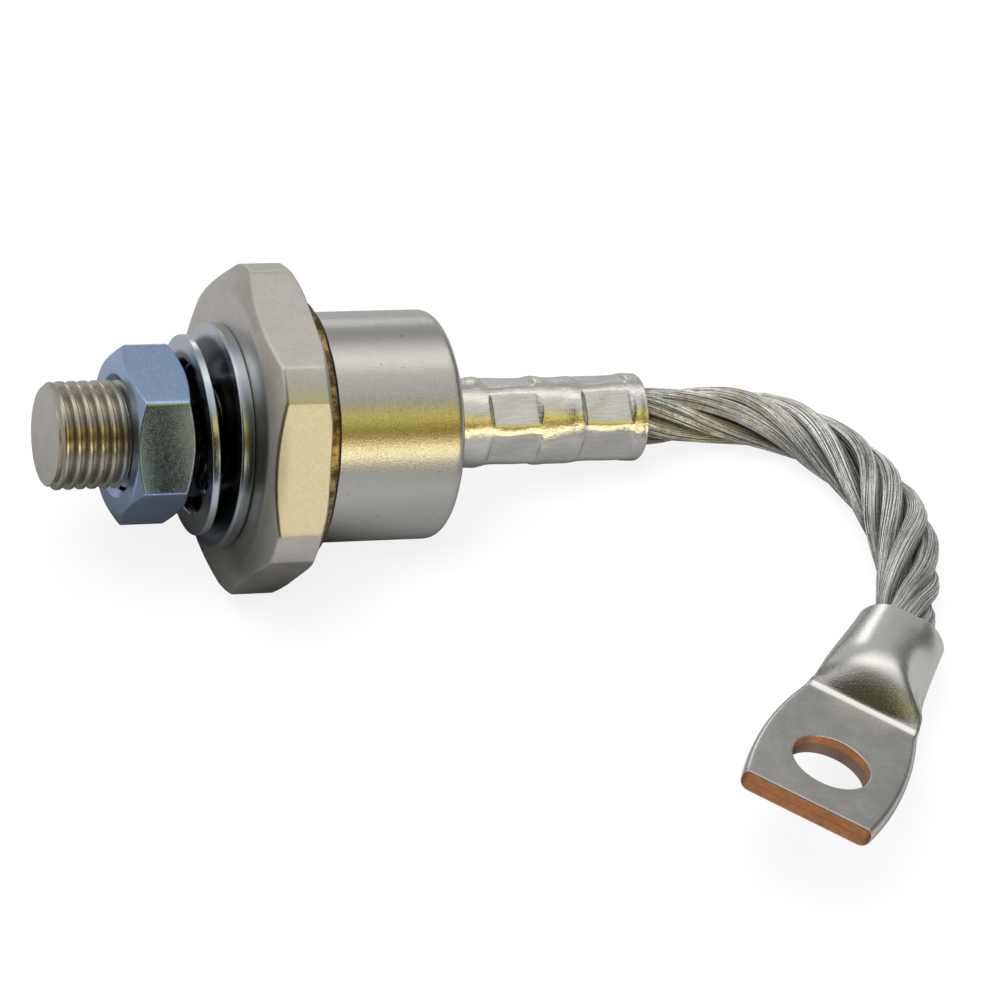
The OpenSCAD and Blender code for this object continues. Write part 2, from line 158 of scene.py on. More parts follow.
class DiodeSizes(bpy.types.PropertyGroup):
    """Lengths of the diode's pieces."""
    stud_d: size("Stud diameter", "Outside diameter of the stud's thread", 9.525)
    stud_l: size("Stud length", "From the seat face to the end of the stud", 16.1)
    pitch: size("Thread pitch", "Advance of the stud's thread in one turn", 1.0583)
    hex_af: size("Hex width", "Across the flats of the base", 27.0)
    hex_od: size("Hex corner diameter", "Diameter to which the corners are turned", 29.5)
    hex_t: size("Hex height", "Height of the hex along the axis", 5.55)
    seat_d: size("Seat diameter", "Flat face under the washers", 25.1)
    pedestal_d: size("Pedestal diameter", "Boss that carries the junction", 15.4)
    pedestal_h: size("Pedestal height", "Height of the boss above the hex", 2.2)
    ring_d: size("Weld ring diameter", "Outside of the steel ring", 23.8)
    ring_t: size("Weld ring thickness", "Thickness of the steel ring", 1.6)
    case_d: size("Case diameter", "Outside of the can", 20.4)
    case_l: size("Case length", "Length of the can", 12.1)
    case_wall: size("Case wall", "Thickness of the can's side", 1.3)
    case_rim: size("Case rim", "Rounding at the can's end", 1.0)
    glass_d: size("Glass diameter", "Outside of the glass bead", 13.4)
    tube_d: size("Tube diameter", "Outside of the terminal tube", 7.9)
    tube_l: size("Tube length", "From the end of the case to the tube's mouth", 19.85)
    crimp_af: size("Crimp width", "Across two opposite crimp flats", 7.3)
    crimp_l: size("Crimp length", "Length of a crimp flat", 5.1)
    lead_d: size("Lead diameter", "Outside of the twisted lead", 5.2)
    lead_lay: size("Lead lay", "Length of one turn of a bundle", 34.0)
    wire_d: size("Wire diameter", "One wire of the lead", 0.16)
    nut_af: size("Nut width", "Across the flats of the nut", 14.0)
    nut_t: size("Nut height", "Height of the nut along the stud", 5.2)
    lock_d: size("Lock washer diameter", "Outside of the toothed washer", 17.7)
    lock_t: size("Lock washer thickness", "Sheet of the toothed washer", 0.7)
    tooth_w: size("Tooth width", "Width of one twisted tooth", 3.0)
    flat_d: size("Flat washer diameter", "Outside of the plain washer", 19.8)
    flat_t: size("Flat washer thickness", "Sheet of the plain washer", 1.25)
    palm_w: size("Palm width", "Widest part of the lug's palm", 13.1)
    palm_t: size("Palm thickness", "Two flattened walls of the lug", 1.8)
    hole_d: size("Lug hole", "Diameter of the hole in the palm", 6.9)


class DiodeFinishes(bpy.types.PropertyGroup):
    """Colours of the diode's finishes."""
    nickel: tint("Nickel", "Satin nickel of the base", (0.80, 0.77, 0.71))
    case: tint("Case nickel", "Brushed nickel of the can", (0.68, 0.665, 0.625))
    tube: tint("Tube nickel", "Nickel of the terminal tube", (0.90, 0.88, 0.83))
    braze: tint("Heat tint", "Straw tint of the welded ring", (0.46, 0.32, 0.14))
    zinc: tint("Nut zinc", "Blue passivated zinc of the nut", (0.46, 0.66, 0.95))
    washer: tint("Washer zinc", "Paler zinc of the washers", (0.66, 0.74, 0.84))
    glass: tint("Seal glass", "Grey green glass of the seal", (0.30, 0.40, 0.37))
    wire: tint("Tinned wire", "Tinned copper of the lead", (0.96, 0.95, 0.87))
    tin: tint("Tin plate", "Plating of the lug", (0.75, 0.74, 0.71))
    copper: tint("Bare copper", "Cut end and hole of the lug", (0.90, 0.40, 0.19))
    floor: tint("Floor", "Colour of the table", (0.62, 0.62, 0.62))


def lengths(context):
    """Every length of the diode in millimetres."""
    group = context.scene.diode_sizes
    return SimpleNamespace(**{k: getattr(group, k) / MM for k in DiodeSizes.__annotations__})


def colours(context):
    """Every colour of the diode as red, green, blue and alpha."""
    group = context.scene.diode_finishes
    return SimpleNamespace(
        **{k: (*getattr(group, k), 1.0) for k in DiodeFinishes.__annotations__})


# Shapes

def swung(points, angle, i, j):
    """Points turned in the plane of two axes: (p cos a - q sin a, p sin a + q cos a)."""
    points = np.array(points, float)
    c, s = math.cos(angle), math.sin(angle)
    p, q = points[..., i].copy(), points[..., j].copy()
    points[..., i], points[..., j] = c * p - s * q, s * p + c * q
    return points


def laid(points):
    """Points of the diode's frame turned by the rest tilt about Y, in metres."""
    return swung(points, -TILT, 0, 2) * MM


def soft_min(a, b, k):
    """The lesser of a and b, rounded over a width k: (a + b - sqrt((a - b)^2 + k^2)) / 2."""
    return 0.5 * (a + b - np.sqrt((a - b) ** 2 + k * k))


def soft_max(a, b, k):
    """The greater of a and b, rounded over a width k."""
    return -soft_min(-a, -b, k)


def ease(t):
    """Smooth step from 0 to 1: 3t^2 - 2t^3."""
    t = np.clip(t, 0.0, 1.0)
    return t * t * (3.0 - 2.0 * t)


def rounded(corners, cut, steps=6, closed=True):
    """Polylines [..., n, 2] with rounded corners.

    Corner p becomes (1-t)^2 a + 2t(1-t) p + t^2 b, where a and b lie on its two sides, cut
    away from p. An open polyline keeps its two end points.
    """
    corners = np.asarray(corners, float)
    cut = np.broadcast_to(np.asarray(cut, float), corners.shape[:-1])[..., None]
    ends = []
    for way in (1, -1):
        side = np.roll(corners, way, -2) - corners
        reach = np.linalg.norm(side, axis=-1, keepdims=True) + 1e-9
        ends.append(corners + side / reach * np.minimum(cut, 0.48 * reach))
    t = np.linspace(0.0, 1.0, steps)[:, None]
    a, p, b = ends[0][..., None, :], corners[..., None, :], ends[1][..., None, :]
    curve = (1 - t) ** 2 * a + 2 * t * (1 - t) * p + t ** 2 * b
    if closed:
        return curve.reshape(corners.shape[:-2] + (-1, 2))
    inner = curve[..., 1:-1, :, :].reshape(corners.shape[:-2] + (-1, 2))
    return np.concatenate([corners[..., :1, :], inner, corners[..., -1:, :]], -2)


def turned(profile, angles):
    """Points [rows, angles, 3] of a profile (x, r) carried round the axis: (x, r cos a, r sin a).

    The profile is [rows, 2], or [angles, rows, 2] where it changes with the angle.
    """
    profile = np.asarray(profile, float)
    if profile.ndim == 2:
        profile = np.broadcast_to(profile, (len(angles), *profile.shape))
    x, r = profile[..., 0].T, profile[..., 1].T
    return np.stack([x, r * np.cos(angles), r * np.sin(angles)], -1)


def pointing(angles):
    """Unit vectors (cos a, sin a)."""
    return np.stack([np.cos(angles), np.sin(angles)], -1)


def per_angle(corners, angles):
    """Profiles [angles, rows, 2] of corners (x, r), each one number or one for each angle."""
    return np.stack([np.stack([x + 0 * angles, r + 0 * angles], -1) for x, r in corners], 1)


def full_turn(count):
    """Angles of a full turn, without the repeated last one."""
    return np.linspace(0.0, TAU, count, endpoint=False)


def hex_turn(breaks):
    """Angles of a full turn that are packed where a hex has its creases, given in degrees
    from the middle of a flat."""
    breaks = np.asarray(breaks, float)
    sector = np.radians(np.concatenate([-breaks[:0:-1], breaks[:-1]]) + 30.0)
    return (sector[None, :] + np.arange(6)[:, None] * TAU / 6).ravel()


def hex_reach(angles, across, corner, soft):
    """Distance from the axis to the side of a hex whose flats face 30, 90, 150... degrees:
    the soft minimum of across / 2 / cos(a) and the corner radius."""
    a = np.mod(angles, TAU / 6) - TAU / 12
    return soft_min(across / 2 / np.cos(a), corner + 0 * a, soft)


def lattice(points, ring=False, caps=None):
    """Points and faces of a closed surface over points [copies, rows, columns, 3].

    Columns close on themselves. Rows close too if ring; else caps "face" ends them with one
    flat face each and "point" with a fan to their middle. Faces point outwards: they are
    turned round where the enclosed volume comes out negative.
    """
    points = points.reshape((-1,) + points.shape[-3:])
    copies, rows, columns = points.shape[:3]
    verts = points.reshape(-1, 3)
    index = np.arange(len(verts)).reshape(copies, rows, columns)
    faces = [quads(wrapped(wrapped(index, 1) if ring else index, 2))]
    if caps == "face":
        faces += [index[:, 0, ::-1], index[:, -1]]
    elif caps == "point":
        middles = points[:, [0, -1]].mean(2)
        spot = len(verts) + np.arange(2 * copies).reshape(copies, 2)
        verts = np.concatenate([verts, middles.reshape(-1, 3)])
        for loop, middle in ((index[:, 0, ::-1], spot[:, :1]), (index[:, -1], spot[:, 1:])):
            fan = [loop, np.roll(loop, -1, 1), np.broadcast_to(middle, loop.shape)]
            faces.append(np.stack(fan, -1).reshape(-1, 3))
    return verts, outward(verts, faces)


def wrapped(net, axis):
    """An index array with its first entries repeated at the end of an axis."""
    return np.concatenate([net, np.take(net, [0], axis)], axis)


def quads(net):
    """Four-sided faces between neighbouring rows and columns of an index array."""
    around = [net[..., :-1, :-1], net[..., :-1, 1:], net[..., 1:, 1:], net[..., 1:, :-1]]
    return np.stack(around, -1).reshape(-1, 4)


def outward(verts, faces):
    """Faces turned so that the volume they enclose, the sum of p . (q x r) / 6 over their
    triangles, is positive."""
    volume = 0.0
    for f in faces:
        for k in range(1, f.shape[1] - 1):
            p, q, r = verts[f[:, 0]], verts[f[:, k]], verts[f[:, k + 1]]
            volume += np.einsum("ij,ij->", p, np.cross(q, r))
    return faces if volume > 0 else [f[:, ::-1] for f in faces]


def face_normals(verts, f):
    """Area vectors of faces: half the sum of the cross products of their corners."""
    ring = verts[f]
    return 0.5 * np.cross(ring, np.roll(ring, -1, 1)).sum(1)


def make_piece(name, node, parts, finishes, shades=None):
    """One object of parts (points, face arrays, finish number or one for each array) that
    stands for a node.

    Normals are the area-weighted mean of the faces round a point, so flats stay flat up to
    their rounded edges. shades is a value for each point, kept in the attribute "shade".
    """
    verts = laid(np.concatenate([p[0] for p in parts]))
    starts = np.cumsum([0] + [len(p[0]) for p in parts[:-1]])
    groups = [(f + s, n) for p, s in zip(parts, starts)
              for f, n in zip(p[1], np.broadcast_to(p[2], len(p[1])))]
    mesh = bpy.data.meshes.new(name)
    mesh.from_pydata(verts.tolist(), [], [face for f, _ in groups for face in f.tolist()])
    mesh.polygons.foreach_set("use_smooth", np.ones(len(mesh.polygons), bool))
    numbers = np.concatenate([np.full(len(f), n) for f, n in groups])
    mesh.polygons.foreach_set("material_index", numbers.astype(np.int32))
    normals = np.zeros_like(verts)
    for f, _ in groups:
        area = face_normals(verts, f)
        for k in range(f.shape[1]):
            np.add.at(normals, f[:, k], area)
    normals /= np.linalg.norm(normals, axis=1, keepdims=True) + 1e-30
    if shades is not None:
        mesh.attributes.new("shade", "FLOAT", "POINT").data.foreach_set(
            "value", np.asarray(shades, np.float32))
    for finish in finishes:
        mesh.materials.append(finish)
    mesh.update()
    mesh.normals_split_custom_set_from_vertices(normals.tolist())
    piece = bpy.data.objects.new(name, mesh)
    bpy.context.scene.collection.objects.link(piece)
    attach(piece, "root")
    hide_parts(node)
    return piece


def ring_piece(name, node, points, finish):
    """One object over points [rows, columns, 3] that close both ways."""
    return make_piece(name, node, [(*lattice(points[None], ring=True), 0)], [finish])


# Materials

def arithmetic(operation, flipped=False):
    """An operator of Value: a Math node, with the other operand first if flipped."""
    def operator(self, other):
        pair = (other, self) if flipped else (self, other)
        return self.add("Math", dict(enumerate(pair)), operation=operation)
    return operator


class Value:
    """One output of a shader node. Arithmetic on it adds Math nodes."""

    def __init__(self, tree, socket=None):
        self.tree = tree
        self.socket = socket

    def add(self, kind, sockets=None, out=0, **settings):
        """A new node's output: its settings come first, then its sockets' values or links."""
        made = self.tree.nodes.new("ShaderNode" + kind)
        for key, given in settings.items():
            if key == "stops":
                ramp = made.color_ramp.elements
                while len(ramp) < len(given):
                    ramp.new(0.5)
                for element, (place, colour) in zip(ramp, given):
                    element.position = place
                    element.color = colour
            else:
                setattr(made, key, given)
        for key, given in (sockets or {}).items():
            if isinstance(given, Value):
                self.tree.links.new(given.socket, made.inputs[key])
            else:
                made.inputs[key].default_value = given
        return Value(self.tree, made.outputs[out] if made.outputs else None)

    def math(self, operation, *others):
        """A Math node with this value first."""
        return self.add("Math", dict(enumerate((self, *others))), operation=operation)

    __add__ = __radd__ = arithmetic("ADD")
    __sub__ = arithmetic("SUBTRACT")
    __rsub__ = arithmetic("SUBTRACT", flipped=True)
    __mul__ = __rmul__ = arithmetic("MULTIPLY")
    __truediv__ = arithmetic("DIVIDE")
    __rtruediv__ = arithmetic("DIVIDE", flipped=True)

    def __neg__(self):
        return self.math("MULTIPLY", -1.0)

    def step(self, low, high):
        """0 below low, 1 above high and smooth between."""
        sockets = {"Value": self, "From Min": low, "From Max": high}
        return self.add("MapRange", sockets, interpolation_type="SMOOTHSTEP")

    def mix(self, a, b):
        """Colour a where this value is 0 and b where it is 1."""
        return self.add("Mix", {0: self, 6: a, 7: b}, 2, data_type="RGBA")

    def parts(self):
        """X, Y and Z of a vector."""
        split = self.add("SeparateXYZ", {0: self})
        outputs = split.socket.node.outputs
        return [Value(self.tree, outputs[k]) for k in range(3)]

    def stretch(self, *factors):
        """This vector with its X, Y and Z multiplied."""
        return self.add("VectorMath", {0: self, 1: factors}, operation="MULTIPLY")

    def noise(self, scale, detail=2.0, rough=0.5):
        """Cloudy pattern at this place, about 0.5 in the mean."""
        sockets = {"Vector": self, "Scale": scale, "Detail": detail, "Roughness": rough}
        return self.add("TexNoise", sockets)

    def cells(self, scale):
        """Distance to the nearest point of a random scatter."""
        return self.add("TexVoronoi", {"Vector": self, "Scale": scale})

    def rays(self):
        """Whether a ray comes from the camera, from a mirror or through glass."""
        return [self.add("LightPath", None, kind) for kind in
                ("Is Camera Ray", "Is Glossy Ray", "Is Transmission Ray")]

    def blend(self, a, b):
        """Shader a where this value is 0 and b where it is 1."""
        return self.add("MixShader", {0: self, 1: a, 2: b})

    def show(self, kind="OutputMaterial"):
        """Makes this shader the output of its tree."""
        self.add(kind, {0: self})


def cleared(owner):
    """The emptied node tree of a material or world, from which values start."""
    owner.use_nodes = True
    owner.node_tree.nodes.clear()
    return Value(owner.node_tree)


def dimmed(colour, factor):
    """A colour made darker or lighter."""
    return (*[min(1.0, c * factor) for c in colour[:3]], 1.0)


def blended(a, b, share):
    """A constant colour between a and b."""
    return (*[p + (q - p) * share for p, q in zip(a[:3], b[:3])], 1.0)


class Finish:
    """A material with one shader. Its place value is in millimetres along the diode."""

    def __init__(self, name, turn=(0.0, -TILT, 0.0), shift=(0.0, 0.0, 0.0), **constants):
        self.material = bpy.data.materials.new(name)
        self.start = cleared(self.material)
        shader = self.start.add("BsdfPrincipled", constants)
        shader.show()
        self.inputs = shader.socket.node.inputs
        coordinates = self.start.add("TexCoord", None, "Object")
        self.place = self.start.add("Mapping", {
            "Vector": coordinates, "Rotation": turn, "Scale": (1 / MM,) * 3, "Location": shift})

    def tones(self, mask, low, high):
        """Makes the base colour, low where the mask is 0 and high where it is 1."""
        self.base = mask.mix(low, high)

    def coat(self, mask, colour):
        """Lays a colour over the base where the mask is 1."""
        self.base = mask.mix(self.base, colour)

    def done(self, *bumps, **sockets):
        """The material, its sockets fed and its bumps laid one on the other. A bump is a
        height value, a depth in millimetres and a strength."""
        normal = {}
        for height, depth, strength in bumps:
            layer = {"Height": height, "Distance": depth * MM, "Strength": strength}
            normal = {"Normal": self.start.add("Bump", {**layer, **normal})}
        for key, value in {"Base Color": self.base, **sockets, **normal}.items():
            self.start.tree.links.new(value.socket, self.inputs[key])
        return self.material


def satin_nickel(tone):
    """Barrel-plated nickel: fine pearly grain, clouded roughness, a few dark specks, and painted
    shade on the seat and on the stud between nut and washer.
    """
    f = Finish("satin_nickel", Metallic=1.0)
    x, y, z = f.place.parts()
    cloud = f.place.noise(0.5, 3.0)
    grain = f.place.noise(6.5, 3.0, 0.65)
    speck = f.place.cells(1.1).step(0.10, 0.03) * f.place.noise(0.35).step(0.5, 0.62)
    f.tones(cloud.step(0.3, 0.7), dimmed(tone, 0.94), dimmed(tone, 1.04))
    f.coat(grain.step(0.36, 0.66) * 0.6, dimmed(tone, 0.80))
    f.coat(speck * 0.6, dimmed(tone, 0.35))
    stud = x.step(-0.5, -0.9) * x.step(-16.0, -15.7)
    f.coat(stud, blended(dimmed(tone, 0.80), (0.50, 0.40, 0.26, 1.0), 0.25))
    # Painted shadow of the washer on the seat: darker inside the seat's rim, on the front side.
    reach = (y * y + z * z).math("SQRT")
    painted_seat_shadow = reach.step(14.6, 12.6) * x.step(2.0, 0.9) * x.step(-0.4, -0.1) * y.step(-2.0, -7.0) \
        * z.step(-9.0, -5.0)
    f.coat(painted_seat_shadow * (0.45 + cloud * 0.4), dimmed(tone, 0.35))
    # Painted shade: the stud's thread between the nut and the washers is made near black.
    painted_gap_shade = x.step(-4.6, -4.2) * x.step(-0.3, -0.8)
    f.coat(painted_gap_shade * 0.85, (0.02, 0.02, 0.02, 1.0))
    return f.done((grain, 0.02, 0.45), (cloud, 0.05, 0.12),
                  Roughness=cloud * 0.10 + grain * 0.12 + 0.26 - stud * 0.12)


def brushed_nickel(tone):
    """Nickel polished on a lathe: fine lines round the axis, small pits and brown spots."""
    f = Finish("brushed_nickel", Metallic=1.0)
    lines = f.place.stretch(26.0, 0.9, 0.9).noise(1.0, 4.0, 0.7)
    cloud = f.place.noise(0.35, 3.0)
    spots = f.place.cells(0.75).step(0.11, 0.05) * f.place.noise(0.3).step(0.48, 0.60)
    f.tones(lines.step(0.3, 0.72), dimmed(tone, 0.93), dimmed(tone, 1.05))
    f.coat(cloud.step(0.35, 0.7), dimmed(tone, 0.99))
    f.coat(spots * 0.55, (0.16, 0.09, 0.04, 1.0))
    strokes = f.place.stretch(30.0, 2.6, 2.6).noise(1.0, 2.0, 0.5)
    peen = f.place.noise(6.0, 3.0, 0.6)
    return f.done((lines, 0.012, 0.5), (strokes, 0.02, 0.5), (peen, 0.03, 0.5),
                  (cloud, 0.06, 0.10), Roughness=lines * 0.14 + cloud * 0.08 + 0.07)


def tube_nickel(tone):
    """Nickel on drawn tube: lengthwise drawing marks and clouded press marks."""
    f = Finish("tube_nickel", Metallic=1.0)
    marks = f.place.stretch(0.7, 7.0, 7.0).noise(1.0, 3.0, 0.6)
    cloud = f.place.noise(0.55, 3.0)
    f.tones(marks.step(0.3, 0.7), dimmed(tone, 0.90), dimmed(tone, 1.05))
    f.coat(cloud.step(0.55, 0.75) * 0.5, dimmed(tone, 0.86))
    hatch = f.place.stretch(12.0, 1.2, 1.2).noise(1.0, 3.0, 0.6)
    peen = f.place.noise(2.8, 3.0, 0.6)
    return f.done((marks, 0.012, 0.3), (hatch, 0.02, 0.3), (peen, 0.055, 0.6),
                  (cloud, 0.07, 0.15), Roughness=marks * 0.10 + cloud * 0.14 + 0.10)


def heat_tint(tone):
    """Brazed steel: straw to brown temper colours, near black at its edge by the can and towards
    its lower side.
    """
    f = Finish("heat_tint", Metallic=1.0)
    cloud = f.place.noise(0.8, 4.0, 0.65)
    grain = f.place.noise(5.0, 3.0, 0.6)
    x, _, z = f.place.parts()
    f.tones(cloud.step(0.38, 0.62), dimmed(tone, 0.26), dimmed(tone, 1.2))
    f.coat(grain.step(0.5, 0.72), dimmed(tone, 0.22))
    # Near black at the edge by the can and towards the lower side.
    scale = (x + cloud * 0.5).step(6.95, 7.25).math("MAXIMUM", z.step(-5.5, -8.0))
    f.coat(scale, (0.035, 0.03, 0.025, 1.0))
    return f.done((cloud, 0.15, 0.4), (grain, 0.05, 0.5), Roughness=grain * 0.3 + 0.2)


def nut_zinc(tone):
    """Blue passivated zinc: drifts from blue to lilac, with a glittering fine grain."""
    f = Finish("nut_zinc", Metallic=1.0)
    drift = f.place.noise(0.22, 2.0)
    grain = f.place.noise(13.0, 3.0, 0.7)
    lilac = (tone[0] * 1.22, tone[1] * 0.95, tone[2] * 0.98, 1.0)
    f.tones(drift.step(0.38, 0.64), tone, lilac)
    f.coat(grain.step(0.3, 0.7), dimmed(tone, 0.92))
    fleck = f.place.noise(7.0, 3.0, 0.75).step(0.54, 0.66)
    return f.done((grain, 0.02, 0.6), (fleck, 0.012, 0.4),
                  Roughness=grain * 0.10 + fleck * 0.06 + 0.07)


def washer_zinc(tone):
    """Pale zinc: faint straw and blue drifts, fine tumbling marks, a painted highlight and painted
    shade on the rim, and painted shade between the washers.
    """
    f = Finish("washer_zinc", Metallic=1.0)
    drift = f.place.noise(0.3, 2.0)
    grain = f.place.noise(6.0, 3.0, 0.6)
    straw = (tone[0] * 1.05, tone[1], tone[2] * 0.82, 1.0)
    f.tones(drift.step(0.42, 0.66), tone, straw)
    x, y, z = f.place.parts()
    reach = (y * y + z * z).math("SQRT")
    rim = reach.step(9.4, 9.7)
    # Painted highlight: pale blue on the upper part of the rim.
    f.coat(rim * z.step(6.6, 8.4), (0.80, 0.90, 1.0, 1.0))
    # Painted shade: darker on the lower part of the rim.
    f.coat(rim * z.step(7.4, 5.8) * 0.6, dimmed(tone, 0.5))
    # Painted shade, near black, between the two washers: on the plain washer's face under the
    # toothed washer and round the teeth.
    painted_gap_shade = (reach.step(8.7, 8.0) * x.step(-1.75, -1.45)).math("MAXIMUM", reach.step(7.4, 6.8))
    f.coat(painted_gap_shade * 0.88, (0.015, 0.017, 0.02, 1.0))
    return f.done((grain, 0.025, 0.45), Roughness=grain * 0.18 + 0.12)


def seal_glass(tone):
    """Fused glass with a clouded body."""
    f = Finish("seal_glass", Roughness=0.10, IOR=1.52)
    cloud = f.place.noise(0.9, 3.0)
    f.tones(cloud.step(0.35, 0.7), dimmed(tone, 0.86), dimmed(tone, 1.04))
    return f.done((cloud, 0.04, 0.15))


def tinned_wire(tone):
    """Tinned copper wire: each wire has its own shade, which also carries painted shade in the
    lead's grooves and gaps, with worn spots, a straw stain and painted glints.
    """
    f = Finish("tinned_wire", Metallic=0.80)
    shade = f.start.add("Attribute", None, "Fac", attribute_name="shade")
    cloud = f.place.noise(0.6, 3.0)
    grain = f.place.noise(4.0, 3.0, 0.65)
    x = f.place.parts()[0]
    f.tones(shade, dimmed(tone, 0.12), dimmed(tone, 1.10))
    f.coat(grain.step(0.50, 0.66) * 0.60, dimmed(tone, 0.40))
    # Painted glints: near-white specks on the brighter wires, which are also less rough.
    painted_glint = f.place.noise(1.7, 3.0, 0.7).step(0.54, 0.68) * shade.step(0.45, 0.75)
    f.coat(painted_glint * 0.7, (1.0, 0.97, 0.86, 1.0))
    straw = cloud.step(0.44, 0.60) * x.step(56.0, 44.0) * 0.45
    f.coat(straw, (0.56, 0.48, 0.26, 1.0))
    soot = f.place.noise(0.9, 3.0, 0.7).step(0.52, 0.64) * x.step(54.0, 42.0)
    f.coat(soot * 0.45, (0.26, 0.20, 0.13, 1.0))
    return f.done((grain, 0.02, 0.3), Roughness=grain * 0.30 + 0.16 - painted_glint * 0.06)


def lug_finish(name, **constants):
    """A finish whose place runs along the lug from its mouth."""
    lay = swung(np.eye(3), -TILT, 0, 2).T
    back = (lay @ lug_matrix()).T
    shift = -back @ (lay @ np.array(LUG_MOUTH))
    return Finish(name, turn=tuple(Matrix(back.tolist()).to_euler()), shift=tuple(shift),
                  **constants)


def tin_plate(tone):
    """Dull tin over pressed copper: soft cloudy grey, fine grain and small scratches, with painted
    highlights on the barrel and the crease and a painted dark reflection on the pressed slope.
    """
    f = lug_finish("tin_plate", Metallic=1.0)
    cloud = f.place.noise(0.45, 3.0)
    grain = f.place.noise(7.0, 3.0, 0.6)
    scratch = f.place.stretch(0.8, 9.0, 9.0).noise(1.0, 3.0, 0.7)
    f.tones(cloud.step(0.32, 0.7), dimmed(tone, 0.92), dimmed(tone, 1.06))
    f.coat(scratch.step(0.55, 0.75) * 0.4, dimmed(tone, 0.82))
    x, y, z = f.place.parts()
    # Painted highlight: the barrel behind the crease is made near white, fully on one side and
    # half on the other.
    painted_barrel_sheen = x.step(LUG_CREASE - 0.2, LUG_CREASE - 1.4) * (y.step(4.0, -2.0) * 0.5 + 0.5)
    f.coat(painted_barrel_sheen, (0.97, 0.97, 0.92, 1.0))
    # Painted dark reflection on the pressed slope before the crease, with painted gold glints in
    # it.
    pressed = x.step(LUG_CREASE - 2.6, LUG_CREASE - 1.6) * z.step(-0.85, -0.5) \
        * x.step(LUG_CREASE + 0.1, LUG_CREASE - 0.1)
    f.coat(pressed * 0.8, dimmed(tone, 0.5))
    fleck = f.place.noise(5.0, 2.0, 0.6).step(0.60, 0.68) * pressed
    f.coat(fleck * 0.45, (0.95, 0.86, 0.55, 1.0))
    coarse = f.place.noise(4.5, 3.0, 0.7) * pressed
    # Painted highlight: a near-white line along the crease.
    painted_crease_highlight = x.step(LUG_CREASE - 0.15, LUG_CREASE) \
        * x.step(LUG_CREASE + 0.7, LUG_CREASE + 0.35)
    f.coat(painted_crease_highlight, (0.97, 0.97, 0.95, 1.0))
    return f.done((grain, 0.02, 0.3), (scratch, 0.02, 0.2), (coarse, 0.10, 0.45),
                  (cloud, 0.06, 0.12), Roughness=cloud * 0.10 + grain * 0.10 + 0.16)


def bare_copper(tone):
    """Sheared copper: shear lines, tarnish and a faint seam between the two walls."""
    f = lug_finish("bare_copper", Metallic=1.0)
    x, y, z = f.place.parts()
    lines = f.place.stretch(9.0, 2.0, 9.0).noise(1.0, 4.0, 0.75)
    tarnish = f.place.noise(0.9, 4.0, 0.6)
    f.tones(lines.step(0.3, 0.7), dimmed(tone, 0.70), dimmed(tone, 1.10))
    f.coat(tarnish.step(0.48, 0.68) * 0.4, (0.50, 0.22, 0.12, 1.0))
    torn = x.step(26.8, 26.3) * (z + tarnish * 0.3).step(-1.30, -1.55)
    f.coat(torn * 0.85, (0.34, 0.27, 0.24, 1.0))
    cut = x.step(LUG_END - 0.3, LUG_END - 0.1)
    seam = (z + 1.8).math("ABSOLUTE").step(0.10, 0.02) * cut
    f.coat(seam * 0.35, dimmed(tone, 0.4))
    ends = y.math("ABSOLUTE").step(5.2, 5.9) * cut
    f.coat(ends * 0.7, (0.20, 0.09, 0.06, 1.0))
    return f.done((lines, 0.04, 0.5), Roughness=lines * 0.2 + tarnish * 0.2 + 0.25)


def inner_finish(name, tone, metallic, rough):
    """Finish of a piece inside the can: fine grain on one tone."""
    f = Finish(name, Metallic=metallic)
    grain = f.place.noise(4.0, 3.0)
    f.tones(grain.step(0.3, 0.7), dimmed(tone, 0.88), dimmed(tone, 1.06))
    return f.done((grain, 0.02, 0.25), Roughness=grain * 0.2 + (rough - 0.1))


# Pieces

class Step(bpy.types.Operator):
    """Shared setting of the steps below."""
    bl_options = {"REGISTER", "UNDO"}


